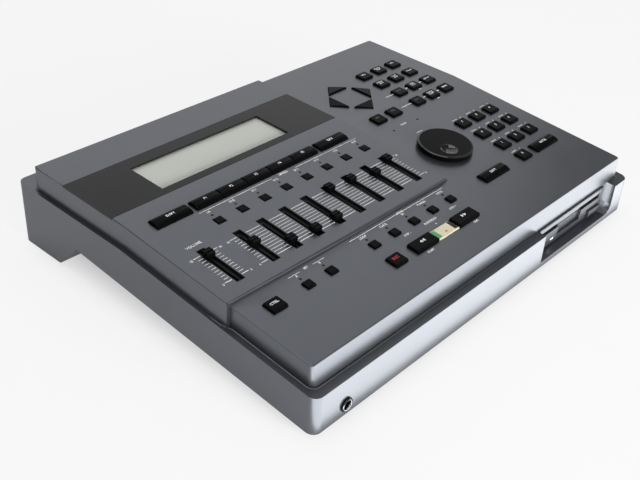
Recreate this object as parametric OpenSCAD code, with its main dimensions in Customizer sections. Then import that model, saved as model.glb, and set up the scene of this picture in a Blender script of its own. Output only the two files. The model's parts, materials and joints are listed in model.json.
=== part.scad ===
// Desktop music workstation: a wedge case with a display, faders, a data dial, keys and a disk drive.
// Millimetres, +Z up, +X to the player's right, +Y to the rear, the table at z = 0.

/* [Case] */
// Width of the lower case
case_w = 400; // [392:1:430]
// Depth of the lower case
case_d = 312; // [306:1:340]
// Height of the front face of the lower case
front_h = 30.3; // [29:0.1:36]
// Gap between the table and the front lower edge
ride_h = 4.3; // [3:0.1:8]
// Wall thickness of both shells
wall = 2.5; // [2:0.1:2.9]
// Corner radius of the lower case in plan
corner_r = 7; // [3:0.5:12]
// Slope of the floor, in degrees
base_tilt = 5; // [4.5:0.1:5.2]
// Slope of the rim in front of the bend, in degrees
rim_tilt = 5.5; // [5:0.1:6]
// Slope of the rim behind the bend, in degrees
rim_tilt_rear = 0.75; // [0:0.05:2]
// Width of each rear leg
leg_w = 34; // [26:1:50]
// Length of a rear leg where it stands
leg_l = 48; // [42:1:60]

/* [Panel] */
// Shelf beside the top case
shelf_side = 6; // [4:0.5:10]
// Shelf in front of the top case
shelf_front = 8.1; // [6:0.1:10]
// Height of the panel's front edge over the front rim
panel_h = 18.1; // [17:0.1:24]
// How far the front and rear walls of the top case lean in
wall_lean = 1.7; // [0.5:0.1:3]
// Length of the panel in front of the bend
front_len = 177.4; // [172:0.1:190]
// Shelf behind the top case
shelf_rear = 19.1; // [15:0.1:24]
// Slope of the panel in front of the bend, in degrees
panel_tilt = 4.95; // [4.5:0.05:5.5]
// Slope of the panel behind the bend, in degrees
panel_tilt_rear = 1.3; // [0.5:0.1:3]
// Corner radius of the top case in plan
panel_r = 5; // [2:0.5:8]

/* [Raised block] */
// Height of the raised block over the panel
raise_h = 3.4; // [2.6:0.1:4.5]
// Length of the raised block in front of the bend
raise_len = 104.8; // [103:0.1:107]
// Width of the panel to the right of the raised block's top
right_w = 156.7; // [152:0.1:162]
// How far the raised block stands out to the left
raise_out = 2.7; // [1:0.1:3]
// Run of the raised block's right-hand slope
slope_run = 4.4; // [2:0.1:6]
// Run of the raised block's front slope
step_run = 0.6; // [0.4:0.1:3]

/* [Display] */
// Front edge of the black window, behind the bend
window_front = 11.2; // [9:0.1:14]
// Depth of the black window
window_d = 57; // [52:0.5:62]
// Thickness of the black window
window_t = 1.5; // [1:0.1:1.8]
// Width of the display area
lcd_w = 133; // [110:1:140]
// Depth of the display area
lcd_d = 37.5; // [30:0.5:40]
// Middle of the display area to the right of the raised block's middle
lcd_shift = 1; // [-6:0.1:6]
// Middle of the display area behind the bend
lcd_s = 37.6; // [36:0.1:40]
// Thickness of the display module
lcd_t = 8; // [6:0.5:10]

/* [Keys] */
// Width of a square key
key_w = 13; // [9:0.1:14]
// Depth of a key
key_d = 11.2; // [8:0.1:12]
// Height of a square key over its panel
key_h = 2; // [1:0.1:4]
// Pitch of the square keys
key_pitch = 20.9; // [19.5:0.1:21.5]
// Width of a long key
long_w = 32.6; // [26:0.1:33]
// Height of a long key over its panel
long_h = 2.4; // [1:0.1:4]
// Gap between the strip of function keys and the long key at each end
strip_space = 3.45; // [3:0.05:10]
// Gap between two keys in a strip
strip_gap = 0.6; // [0.4:0.1:1.2]
// Width of a small key
small_w = 7.7; // [5:0.1:9]
// Depth of a small key
small_d = 7.1; // [5:0.1:8]
// Height of a small key over its panel
small_h = 1.6; // [0.8:0.1:3]
// Height of a part key over the raised block
part_h = 0.7; // [0.4:0.1:2]
// Height of the low middle transport key over its panel
low_h = 0.5; // [0.3:0.1:2]
// Half the diagonal of the cursor diamond
cursor_r = 26.8; // [25:0.1:28]
// Distance from the middle of the diamond to a cursor key's base
cursor_base = 15; // [13:0.1:17]
// Height of a cursor key over its panel
cursor_h = 1.6; // [0.8:0.1:3]
// Gap around a key in its hole
key_gap = 0.35; // [0.25:0.05:0.6]
// Width of the lip under the panel that holds a key in
key_lip = 1.2; // [0.8:0.1:1.6]
// Thickness of that lip
lip_t = 1.2; // [0.8:0.1:1.6]
// Travel of a key
key_travel = 1.2; // [0.6:0.1:1.5]

/* [Faders] */
// First fader column from the panel's left edge
column_in = 54.2; // [52:0.1:58]
// Last fader column from the raised block's right edge
column_out = 18.2; // [12:0.1:24]
// Volume fader from the panel's left edge
volume_in = 20.8; // [18:0.1:24]
// Middle of the faders, in front of the bend
fader_s = 73.5; // [72:0.1:75]
// Travel of a fader
fader_travel = 30; // [20:1:32]
// Width of a fader slot
slot_w = 7.6; // [5:0.1:8]
// Width of a fader cap
cap_w = 7.2; // [6.5:0.1:10]
// Length of a fader cap
cap_l = 6.6; // [5.6:0.1:10]
// Height of a fader cap
cap_h = 4.7; // [4:0.1:8]
// Width of the lever under a fader cap
lever_w = 1.6; // [1:0.1:2.4]
// Length of the lever under a fader cap
lever_l = 4; // [3:0.1:6]

/* [Dial] */
// Diameter of the data dial
dial_dia = 47.5; // [40:0.5:50]
// Thickness of the data dial
dial_t = 4.6; // [3.5:0.1:7]
// Dial axis from the panel's right edge
dial_in = 114.3; // [113:0.1:117]
// Dial axis in front of the bend
dial_s = 73.8; // [72:0.1:77]
// Diameter of the dial shaft
shaft_dia = 6; // [4:0.1:7]
// Radial running clearance of the shaft
shaft_gap = 0.06; // [0.02:0.01:0.1]
// Radius of the finger dimple
dimple_r = 7; // [5:0.1:8]

/* [Drive] */
// Width of the disk drive
drive_w = 101.6; // [100:0.1:103]
// Height of the disk drive
drive_h = 25.4; // [24:0.1:25.5]
// Length of the disk drive behind its bezel
drive_l = 138; // [120:1:150]
// Middle of the drive from the panel's right edge
drive_in = 76; // [74:0.5:82]
// Thickness of the bezel
bezel_t = 6; // [5:0.1:8]
// Height of the disk slot
slot_h = 5; // [4.6:0.1:6]
// Width of the disk slot
disk_w = 94; // [92:0.5:96]
// Width of the drive bay in the front face
bay_w = 112; // [106:0.5:116]
// Travel of the eject button
eject_travel = 3; // [2:0.1:3.5]

/* [Sockets] */
// Bore radius of a phone jack
jack_r = 3.2; // [3.18:0.01:3.4]
// Outer radius of a phone jack's nut
nut_r = 5.4; // [5:0.1:6]
// Headphone jack from the left side of the case
phones_in = 30.3; // [25:0.1:40]
// Radius of a round data socket
din_r = 7.5; // [7:0.1:8]
// Width of the power inlet's hollow
inlet_w = 16; // [15:0.1:18]

/* [Hidden] */
$fn = 48;
EPS = 0.01;
seat_gap = 0.3;
n_cols = 8;
cols = [0:n_cols - 1];

// Side view: distances along Y from the middle of the case, heights from the table
front = -case_d / 2;
rear = case_d / 2;
edge_y = front + shelf_front + wall_lean;
bend_y = edge_y + front_len * cos(panel_tilt);
rim_z0 = ride_h + front_h;
rim_zb = rim_z0 + (bend_y - front) * tan(rim_tilt);
edge_z = rim_z0 + panel_h;
bend_z = edge_z + front_len * sin(panel_tilt);
end_y = rear - shelf_rear - wall_lean;
rear_len = (end_y - bend_y) / cos(panel_tilt_rear);
end_z = bend_z + rear_len * sin(panel_tilt_rear);
foot_y = edge_y - wall_lean;
back_y = end_y + wall_lean;
// Height over everything, for cuts and plan outlines
sky = 2 * bend_z;

// Plan: half widths of the top case
panel_x = case_w / 2 - shelf_side;
raise_left = -panel_x - raise_out;
raise_right = panel_x - right_w;
raise_foot = raise_right + slope_run;

// Inside the panel, heights from the panel's surface
board_depth = 13;
board_t = 1.6;
switch_h = 4;
switch_w = 6;
board_edge = 8;
board_x = panel_x - 17;

// Fader and switch sizes
slot_l = fader_travel + lever_l + 7;
unit_w = slot_w + 1;
unit_l = slot_l + 6;
cap_gap = 0.6;
fader_rest = [11.8, 2.3, -11.3, -13.6, -13.1, 14.5, 12.6, 7, 14];

// Fader columns and the display: from the middle of the case
volume_x = -panel_x + volume_in;
column_x = -panel_x + column_in;
column_pitch = (raise_right - column_out - column_x) / (n_cols - 1);
small_cols = [0, 1, 3, 4, 5, 6, 7];
lcd_x = (raise_left + raise_right) / 2 + lcd_shift;

// Key places: x from the middle of the case, s from the bend (positive behind it)
shift_x = -panel_x + 29.5;
exit_x = raise_right - 34.3;
n_function = 5;
strip_pitch = (exit_x - shift_x - long_w - 2 * strip_space) / n_function;
strip_x = (exit_x + shift_x) / 2;
function_s = -13.4;
part_s = -36.6;
small_in = 0.8;
small_more = 0.25;
small_s = -123.1;
ctrl_x = -panel_x + 22.7;
ctrl_s = -123.8;
n_transport = 3;
transport_x = raise_right - 52.9;
transport_s = -144.6;
rec_x = transport_x - n_transport / 2 * strip_pitch - 17.6;
dial_x = panel_x - dial_in;
cursor_x = dial_x + 1;
cursor_s = 31.9;
number_x = panel_x - 68.2;
number_s = -60.1;
last_s = number_s - 3 * key_pitch;
shift2_x = dial_x + 1.3;
enter_x = number_x + 1.5 * key_pitch;
mode_x = number_x - 2.2;
mode_s = 51.9;
pair_in = 55.1;
pair_x = mode_x - pair_in;
pair_s = mode_s - 3 * key_pitch;

// Drive, in its own tilted frame
bezel_y = front + shelf_front + 0.5;
drive_z = rim_z(bezel_y) - seat_gap - drive_h * cos(base_tilt);
drive_floor = (drive_z - ride_h) * cos(base_tilt) - (bezel_y - front) * sin(base_tilt);
slot_z = drive_h - 10;
door_y = 2;
door_gap = 0.4;
door_t = 1.2;
pin_r = 0.8;
hinge_y = door_y + 0.9;
hinge_z = slot_z + slot_h - 0.2;
drive_x = panel_x - drive_in;
bay_depth = shelf_front + wall_lean;
bay_play = 0.16;
bay_lip = 5;
bay_r = 8;
bay_wall = 3;
bay_x = drive_x + 3.2;
button_w = 17;
button_h = 5.5;
button_x = 40;
button_z = 6;
thumb_w = 36;

// Sockets, with how far they stand out of the faces
socket_z = (floor_z(rear) + rim_z(rear)) / 2;
socket_out = 1.6;
inlet_in = 50;
inlet_x = -case_w / 2 + inlet_in;
inlet_h = 8.4;
inlet_l = 15;
inlet_wall = 1.8;
power_in = 28;
power_x = inlet_x + power_in;
jack_in = 32;
jack_pitch = 25;
jack_xs = [for (i = [0:2]) power_x + jack_in + i * jack_pitch];
din_in = 40;
din_pitch = 26;
din_xs = [for (i = [0:2]) jack_xs[2] + din_in + i * din_pitch];
power_w = 12;
power_h = 9;
phones_x = -case_w / 2 + phones_in;
phones_z = ride_h + 8.9;
phones_l = 14;
jack_l = 20;
bush_r = 4.5;
socket_gap = 0.1;
inlet_rim = inlet_wall + socket_gap;

// Screws and feet
screw_x = case_w / 2 - 16;
screw_ys = [front + 26, 0, rear - 38];
screw_r = 1.5;
screw_gap = 0.15;
screw_bite = 10;
boss_r = 4.5;
head_r = 2.9;
head_t = 2.2;
pad_t = 1.3;
pad_r = 8;
pad_in = 14;
// Round ends of the rear legs' soles
sole_r = 3.5;
foot_r = 7;
foot_x = case_w / 2 - 34;
foot_in = 18;
// The rear legs' toes rise at 45 degrees to the floor
leg_toe = (rear - leg_l - ride_h + pad_t + front * tan(base_tilt)) / (1 + tan(base_tilt));

// Lamps and the dial's parts
lamp_r = 1;
lamp_s = 7.7;
lamp_l = 4;
lamp_up = 0.2;
lamp_gap = 0.1;
dial_lamp_s = -30.3;
dial_lamp_dx = 16.3;
dial_up = 0.8;
encoder_w = 13;
cursor_lip = 0.8;
cursor_stem = (cursor_base + cursor_r) / 2 - 1.5;

// Posts that hold the panel boards, as x and s
post_r = 3;
post_mid = panel_x - 144;
post_right = panel_x - 84;
board_posts = [
    [-panel_x + 38, -115], [rec_x - 22.6, transport_s], [post_mid, -150], [post_mid, -45],
    [post_right - 2, -110], [post_right + 2, -15], [post_mid, 62], [post_right, 62], [post_right, 8]];

// Boards in the tray: x from the middle of the case, y along the floor from the front
stand_h = 6;
stand_r = 3.5;
stand_in = 6;
main_in = 26;
main_x0 = -case_w / 2 + main_in;
drive_gap = 15.2;
main_x1 = drive_x - drive_w / 2 - drive_gap;
main_y0 = 34;
psu_w = 130;
psu_d = 68;
psu_in = 40;
psu_x0 = -case_w / 2 + psu_in;
psu_rear = 32;
psu_y1 = case_d - psu_rear;
psu_y0 = psu_y1 - psu_d;
board_gap = 14;
main_y1 = psu_y0 - board_gap;

// Height of the rim at a distance y from the middle
function rim_z(y) = y <= bend_y
    ? rim_z0 + (y - front) * tan(rim_tilt)
    : rim_zb + (y - bend_y) * tan(rim_tilt_rear);
// Height of the floor's underside
function floor_z(y) = ride_h + (y - front) * tan(base_tilt);
// Slope of the panel at a distance s from the bend
function tilt_at(s) = s <= 0 ? panel_tilt : panel_tilt_rear;
// A point of the side view, s along the panel from the bend and up from its surface
function side_point(s, up) = [
    bend_y + s * cos(tilt_at(s)) - up * sin(tilt_at(s)),
    bend_z + s * sin(tilt_at(s)) + up * cos(tilt_at(s))];
// The same point on the mitre at the bend
function bend_point(up) = let (mid = (panel_tilt + panel_tilt_rear) / 2)
    [bend_y - up * sin(mid), bend_z + up * cos(mid)];
// Is a place on the raised block
function raised(x, s) = x < raise_right && s > -raise_len ? raise_h : 0;

// Extrudes a side view from x0 to x1
module along_x(x0, x1) {
    translate([x0, 0, 0])
        rotate([90, 0, 90])
            linear_extrude(x1 - x0) children();
}

// Puts children on the panel's surface, with their Z along its normal
module on_panel(x, s, up = 0) {
    translate([x, bend_y, bend_z])
        rotate([tilt_at(s), 0, 0])
            translate([0, s, up]) children();
}

// Puts children on the floor's underside at the front edge
module on_floor(x = 0, y = 0, up = 0) {
    translate([0, front, ride_h])
        rotate([base_tilt, 0, 0])
            translate([x, y, up]) children();
}

// Puts children in the drive's frame: the bezel's lower front edge, tilted as the floor is
module on_drive() {
    translate([drive_x, bezel_y, drive_z])
        rotate([base_tilt, 0, 0]) children();
}

// Puts children on the rear face, with their Z pointing out
module on_rear(x, z) {
    translate([x, rear, z])
        rotate([-90, 0, 0]) children();
}

// A rectangle with round corners, from x0, y0 to x1, y1
module round_rect(x0, y0, x1, y1, r) {
    translate([x0 + r, y0]) square([x1 - x0 - 2 * r, y1 - y0]);
    translate([x0, y0 + r]) square([x1 - x0, y1 - y0 - 2 * r]);
    for (x = [x0 + r, x1 - r], y = [y0 + r, y1 - r])
        translate([x, y]) circle(r);
}

// A box on its middle in X and Y, from z0 to z1
module block(w, d, z0, z1) {
    translate([-w / 2, -d / 2, z0]) cube([w, d, z1 - z0]);
}

// Side view of the top case at a wall's depth t inside its surface, down to the rim or below it
module panel_outline(t, drop) {
    polygon([
        [foot_y + t, rim_z(foot_y + t) - drop],
        [edge_y + t, edge_z + t * tan(panel_tilt) - t / cos(panel_tilt)],
        bend_point(-t),
        [end_y - t, end_z - t * tan(panel_tilt_rear) - t / cos(panel_tilt_rear)],
        [back_y - t, rim_z(back_y - t) - drop],
        [bend_y, rim_zb - drop]]);
}

// Side view of the raised block, t inside its surface
module raised_outline(t, drop) {
    up = raise_h - t;
    toe = side_point(-raise_len - step_run + t, -t);
    tip = side_point(rear_len - t, up);
    polygon([
        [toe[0], rim_z(toe[0]) - drop],
        toe,
        side_point(-raise_len + t, up),
        bend_point(up),
        tip,
        [back_y - t, rim_z(back_y - t) - drop],
        [bend_y, rim_zb - drop]]);
}

// Half space to the right of the raised block's slope, on both planes of the panel
module slope_cut() {
    for (s = [-raise_len - step_run - 2, -1])
        on_panel(raise_foot, s < -1 ? s : 1)
            translate([0, s < -1 ? 0 : -2, 0])
                rotate([0, -atan(slope_run / raise_h), 0])
                    translate([0, -1, -10])
                        cube([20, s < -1 ? raise_len + step_run + 4 : rear_len + 10, 30]);
}

// Outer form of the top case
module top_outer() {
    intersection() {
        along_x(-panel_x, panel_x) panel_outline(0, 0);
        linear_extrude(sky)
            round_rect(-panel_x, foot_y, panel_x, back_y, panel_r);
    }
    difference() {
        intersection() {
            along_x(raise_left, raise_foot + 3) raised_outline(0, 0);
            linear_extrude(sky)
                round_rect(raise_left, foot_y, panel_x, back_y, panel_r);
        }
        slope_cut();
    }
}

// Hollow of the top case, open below
module top_inner() {
    along_x(-panel_x + wall, panel_x - wall) panel_outline(wall, 10);
    along_x(raise_left + wall, raise_right - wall) raised_outline(wall, 10);
}

// Holes for a row of keys
module key_hole(w, d, x, s) {
    on_panel(x, s) block(w + 2 * key_gap, d + 2 * key_gap, -wall - 1, raise_h + 5);
}

// Outline of a cursor key that points to +Y, made larger by grow
module cursor_outline(grow) {
    half = cursor_r - cursor_base;
    polygon([
        [-half - grow * (1 + sqrt(2)), cursor_base - grow],
        [half + grow * (1 + sqrt(2)), cursor_base - grow],
        [0, cursor_r + grow * sqrt(2)]]);
}

module case_holes() {
    for (row = [0:3], i = [0:2])
        key_hole(key_w, key_d, mode_x + i * key_pitch, mode_s - row * key_pitch);
    for (i = [0, 1])
        key_hole(key_w, key_d, pair_x + i * key_pitch, pair_s);
    for (row = [0:2], i = [0:2])
        key_hole(key_w, key_d, number_x + i * key_pitch, number_s - row * key_pitch);
    key_hole(key_w, key_d, number_x, last_s);
    key_hole(long_w, key_d, enter_x, last_s);
    key_hole(long_w, key_d, shift2_x, last_s);
    key_hole(long_w, key_d, shift_x, function_s);
    key_hole(long_w, key_d, exit_x, function_s);
    key_hole(n_function * strip_pitch - strip_gap, key_d, strip_x, function_s);
    key_hole(n_transport * strip_pitch - strip_gap, key_d, transport_x, transport_s);
    key_hole(key_w, key_d, ctrl_x, ctrl_s);
    key_hole(key_w, key_d, rec_x, transport_s);
    for (i = cols) key_hole(small_w, small_d, part_x(i), part_s);
    for (i = small_cols) key_hole(small_w, small_d, small_x(i), small_s);
    for (a = [0:90:270])
        on_panel(cursor_x, cursor_s, -wall - 1)
            rotate(a) linear_extrude(wall + 5) cursor_outline(key_gap);
    for (i = [0:8])
        on_panel(fader_x(i), -fader_s) block(slot_w, slot_l, -wall - 1, raise_h + 5);
    on_panel(dial_x, -dial_s) cylinder(r = shaft_dia / 2 + 2, h = 20, center = true);
    lamp_places() cylinder(r = lamp_r + lamp_gap, h = 12, center = true);
}

// Fader number 0 is the volume, the others are the part faders
function fader_x(i) = i == 0 ? volume_x : part_x(i - 1);

// Columns of the part keys over the faders, and of the small keys in front of them
function part_x(i) = column_x + i * column_pitch;
function small_x(i) = column_x + small_in + i * (column_pitch + small_more);

// Puts a lamp behind each small key, and one on each side of the dial's label
module lamp_places() {
    for (i = cols)
        on_panel(part_x(i), part_s + lamp_s, raise_h) children();
    for (i = small_cols)
        on_panel(small_x(i), small_s + lamp_s) children();
    for (side = [-1, 1])
        on_panel(dial_x + 2.5 + side * dial_lamp_dx, dial_lamp_s) children();
}

// Height at which the top case's screw posts meet the lower case's bosses
function join_z(y) = rim_z(y) - 8;

module top_case() {
    color([0.33, 0.35, 0.38]) {
        difference() {
            top_outer();
            top_inner();
            case_holes();
            // Seat of the black window, open at the left edge
            on_panel(raise_left - 1, window_front, raise_h - window_t)
                cube([raise_right - raise_left + 1 + EPS, window_d + 2 * seat_gap, 20]);
            on_panel(lcd_x, lcd_s) block(lcd_w + 3, lcd_d + 3, -10, 20);
        }
        for (side = [-1, 1], y = screw_ys)
            difference() {
                intersection() {
                    translate([side * screw_x, y, join_z(y)]) cylinder(r = boss_r, h = 60);
                    top_outer_below();
                }
                translate([side * screw_x, y, 0])
                    cylinder(r = screw_r + screw_gap, h = join_z(y) + screw_bite + 1);
            }
        for (place = board_posts)
            on_panel(place[0], place[1], -board_depth)
                cylinder(r = post_r, h = board_depth - wall / 2 + raised(place[0], place[1]));
    }
}

// The space under the panel's skin, and the skin's lower half
module top_outer_below() {
    along_x(-panel_x, panel_x) panel_outline(wall / 2, 60);
    along_x(-panel_x, raise_right - wall) raised_outline(wall / 2, 60);
}

module display_window() {
    color([0.03, 0.03, 0.035])
        difference() {
            on_panel(raise_left, window_front + seat_gap, raise_h - window_t)
                cube([raise_right - raise_left, window_d, window_t]);
            on_panel(lcd_x, lcd_s) block(lcd_w, lcd_d, -10, 20);
        }
}

module lcd_module() {
    frame = 9;
    glass_in = 2;
    color([0.75, 0.78, 0.72])
        on_panel(lcd_x, lcd_s, raise_h - wall) {
            difference() {
                block(lcd_w + 2 * frame, lcd_d + 2 * frame - 6, -lcd_t, 0);
                block(lcd_w + 2 * glass_in, lcd_d + 2 * glass_in, -1, 1);
            }
            block(lcd_w + 2 * glass_in - 0.4, lcd_d + 2 * glass_in - 0.4, -1, -0.1);
        }
}

// A switch body on the board under a key
module switch_at(x, s) {
    on_panel(x, s) block(switch_w, switch_w, -board_depth - EPS, -board_depth + switch_h);
}

module panel_boards() {
    color([0.12, 0.35, 0.2]) {
        // Board in front of the bend, with a hole for the dial's shaft
        difference() {
            on_panel(0, -1, 0)
                translate([-board_x, -front_len + board_edge + 1, -board_depth - board_t])
                    cube([2 * board_x, front_len - board_edge - 4, board_t]);
            on_panel(dial_x, -dial_s) cylinder(r = shaft_dia / 2 + 1, h = 60, center = true);
        }
        on_panel(0, 1)
            translate([raise_foot + 2, 1, -board_depth - board_t])
                cube([board_x - raise_foot - 2, rear_len * 0.66, board_t]);
        for (row = [0:3], i = [0:2]) switch_at(mode_x + i * key_pitch, mode_s - row * key_pitch);
        for (i = [0, 1]) switch_at(pair_x + i * key_pitch, pair_s);
        for (row = [0:2], i = [0:2]) switch_at(number_x + i * key_pitch, number_s - row * key_pitch);
        for (x = [number_x, enter_x, shift2_x]) switch_at(x, last_s);
        for (x = [shift_x, exit_x]) switch_at(x, function_s);
        for (i = [-2:2]) switch_at(strip_x + i * strip_pitch, function_s);
        for (i = [-1:1]) switch_at(transport_x + i * strip_pitch, transport_s);
        switch_at(ctrl_x, ctrl_s);
        switch_at(rec_x, transport_s);
        for (i = cols) switch_at(part_x(i), part_s);
        for (i = small_cols) switch_at(small_x(i), small_s);
        for (a = [0:90:270]) switch_at(cursor_x + cursor_stem * cos(a), cursor_s + cursor_stem * sin(a));
    }
}

module main_board() {
    chip_w = 22;
    chip_d = 12;
    chip_h = 3.6;
    chip_in = 18;
    chip_dx = (main_x1 - main_x0 - 2 * chip_in - chip_w) / 5;
    chip_dy = (main_y1 - main_y0 - 2 * chip_in - chip_w) / 2;
    top = wall + stand_h + board_t - EPS;
    color([0.1, 0.38, 0.24]) {
        on_floor(main_x0, main_y0, wall + stand_h) cube([main_x1 - main_x0, main_y1 - main_y0, board_t]);
        for (i = [0:5], j = [0:2])
            on_floor(main_x0 + chip_in + i * chip_dx, main_y0 + chip_in + j * chip_dy, top)
                cube([chip_w, j == 1 ? chip_w : chip_d, chip_h]);
    }
}

module power_supply() {
    core_w = 44;
    core_d = 40;
    core_h = 18;
    core_x = 10;
    core_y = 14;
    sink_t = 4;
    sink_d = 50;
    sink_h = 16;
    sink_x = 74;
    sink_y = 9;
    can_r = 5.5;
    can_h = 15;
    can_x = 92;
    can_y = 20;
    can_pitch = 14;
    up = wall + stand_h;
    top = up + board_t - EPS;
    color([0.75, 0.62, 0.3]) {
        on_floor(psu_x0, psu_y0, up) cube([psu_w, psu_d, board_t]);
        on_floor(psu_x0 + core_x, psu_y0 + core_y, top) cube([core_w, core_d, core_h]);
        on_floor(psu_x0 + sink_x, psu_y0 + sink_y, top) cube([sink_t, sink_d, sink_h]);
        for (i = [0:2])
            on_floor(psu_x0 + can_x + i * can_pitch, psu_y0 + can_y, top)
                cylinder(r = can_r, h = can_h);
    }
}

// Side view of the tray, t inside its surface
module tray_outline(t) {
    polygon([
        [front + t, floor_z(front + t) + t],
        [rear - t, floor_z(rear - t) + t],
        [rear - t, rim_z(rear - t) - t],
        [bend_y, rim_zb - t],
        [front + t, rim_z(front + t) - t]]);
}

module tray_outer() {
    intersection() {
        along_x(-case_w / 2, case_w / 2) tray_outline(0);
        linear_extrude(sky)
            round_rect(-case_w / 2, front, case_w / 2, rear, corner_r);
    }
}

module tray_inner() {
    difference() {
        along_x(-case_w / 2 + wall, case_w / 2 - wall) tray_outline(wall);
        // Walls of the drive bay
        translate([bay_x - bay_w / 2 - bay_wall, front, 0])
            cube([bay_w + 2 * bay_wall, bay_depth + bay_wall + 1, sky]);
    }
}

module lower_case() {
    seat = wall + 0.6;
    color([0.3, 0.32, 0.35]) {
        difference() {
            tray_outer();
            tray_inner();
            // Opening that the top case covers
            along_x(-panel_x + seat, panel_x - seat)
                polygon([
                    [foot_y + seat + 1, rim_z(foot_y) - wall - 1],
                    [bend_y, rim_zb - wall - 1],
                    [back_y - seat, rim_z(back_y) - wall - 1],
                    [back_y - seat, rim_z(back_y) + 10],
                    [foot_y + seat + 1, rim_z(back_y) + 10]]);
            // Drive bay in the front face, and the way through for the drive
            translate([bay_x, front + bay_depth - bay_play, ride_h + bay_lip])
                rotate([90, 0, 0])
                    linear_extrude(bay_depth + 1 - bay_play) bay_outline();
            on_drive() translate([-drive_w / 2 - seat_gap, -5, -seat_gap])
                cube([drive_w + 2 * seat_gap, 40, drive_h + 20]);
            translate([phones_x, front, phones_z]) rotate([90, 0, 0])
                cylinder(r = bush_r + socket_gap, h = 20, center = true);
            for (x = jack_xs) on_rear(x, socket_z) cylinder(r = bush_r + socket_gap, h = 20, center = true);
            for (x = din_xs) on_rear(x, socket_z) cylinder(r = din_r + socket_gap, h = 20, center = true);
            on_rear(inlet_x, socket_z)
                block(inlet_w + 2 * inlet_rim, inlet_h + 2 * inlet_rim, -10, 10);
            on_rear(power_x, socket_z) block(power_w + 2 * key_gap, power_h + 2 * key_gap, -10, 10);
            for (side = [-1, 1], y = screw_ys) translate([side * screw_x, y, 0]) screw_hole(y);
        }
        for (side = [-1, 1], y = screw_ys)
            difference() {
                translate([side * screw_x, y, boss_z(y)]) cylinder(r = boss_r, h = join_z(y) - boss_z(y));
                translate([side * screw_x, y, 0]) screw_hole(y);
            }
        for (x = [main_x0 + stand_in, main_x1 - stand_in], y = [main_y0 + stand_in, main_y1 - stand_in])
            stand(x, y);
        for (x = [psu_x0 + stand_in, psu_x0 + psu_w - stand_in], y = [psu_y0 + stand_in, psu_y1 - stand_in])
            stand(x, y);
        for (side = [-1, 1], y = [40, drive_l - 10]) drive_post(side, y);
    }
}

// Front view of the drive bay, its lower right corner round
module bay_outline() {
    translate([-bay_w / 2, 0]) square([bay_w - bay_r, sky]);
    translate([-bay_w / 2, bay_r]) square([bay_w, sky - bay_r]);
    translate([bay_w / 2 - bay_r, bay_r]) circle(bay_r);
}

// Height inside the floor from which a screw boss rises
function boss_z(y) = floor_z(y) + wall / 2;

// A stand for a board on the floor
module stand(x, y) {
    on_floor(x, y, wall / 2) cylinder(r = stand_r, h = stand_h + wall / 2);
}

// A pad on the floor under the drive, side -1 or 1, y behind the bezel's front
module drive_post(side, y) {
    on_drive()
        translate([side * (drive_w / 2 - 8), y, 0])
            block(8, 8, -drive_floor + wall / 2, 0);
}

// Hole of a case screw: the counterbore from below, then the shank
module screw_hole(y) {
    cylinder(r = screw_r + screw_gap, h = join_z(y) + 1);
    cylinder(r = head_r + 0.5, h = floor_z(y) + wall + 1);
}

// Side view of a rear leg: a flat sole, a sloped toe and a top that follows the floor
module leg_outline() {
    inset = sole_r * tan(22.5);
    polygon([
        [rear, pad_t + sole_r],
        [rear - sole_r, pad_t],
        [rear - leg_l + inset, pad_t],
        [rear - leg_l - inset * cos(45), pad_t + inset * sin(45)],
        [leg_toe, floor_z(leg_toe)],
        [rear, floor_z(rear)]]);
    translate([rear - sole_r, pad_t + sole_r]) circle(sole_r);
    translate([rear - leg_l + inset, pad_t + sole_r]) circle(sole_r);
}

// Side view of a rear leg's hollow, open to the floor above it
module leg_hollow() {
    slant = wall * (sqrt(2) - 1);
    polygon([
        [rear - wall, pad_t + wall],
        [rear - leg_l + slant, pad_t + wall],
        [leg_toe + wall * sqrt(2), floor_z(leg_toe)],
        [leg_toe + wall * sqrt(2), sky],
        [rear - wall, sky]]);
}

module rear_legs() {
    x0 = case_w / 2 - leg_w;
    x1 = case_w / 2;
    color([0.3, 0.32, 0.35])
        for (side = [0, 1])
            mirror([side, 0, 0])
                difference() {
                    intersection() {
                        along_x(x0, x1) leg_outline();
                        linear_extrude(sky)
                            round_rect(-case_w / 2, front, case_w / 2, rear, corner_r);
                        union() {
                            difference() {
                                along_x(x0, x1) leg_outline();
                                along_x(x0 + wall, x1 - wall) leg_hollow();
                            }
                            translate([screw_x, screw_ys[2], 0]) cylinder(r = boss_r, h = sky);
                        }
                    }
                    translate([screw_x, screw_ys[2], 0]) screw_hole(screw_ys[2]);
                }
}

module case_screws() {
    color([0.6, 0.6, 0.62])
        for (side = [-1, 1], y = screw_ys)
            translate([side * screw_x, y, floor_z(y) + wall + 1]) {
                difference() {
                    translate([0, 0, -head_t]) cylinder(r = head_r, h = head_t);
                    for (a = [0, 90]) rotate(a) block(3.4, 0.8, -head_t - 1, -head_t + 0.9);
                }
                cylinder(r = screw_r, h = join_z(y) + screw_bite - floor_z(y) - wall - 1);
            }
}

module rubber_feet() {
    color([0.08, 0.08, 0.08])
        for (side = [-1, 1]) {
            intersection() {
                translate([side * foot_x, front + foot_in, 0]) cylinder(r = foot_r, h = sky);
                along_x(-case_w, case_w)
                    polygon([[front, 0], [rear, 0], [rear, floor_z(rear)], [front, floor_z(front)]]);
            }
            translate([side * (case_w / 2 - leg_w / 2), rear - pad_in, 0]) cylinder(r = pad_r, h = pad_t);
        }
}

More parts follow.
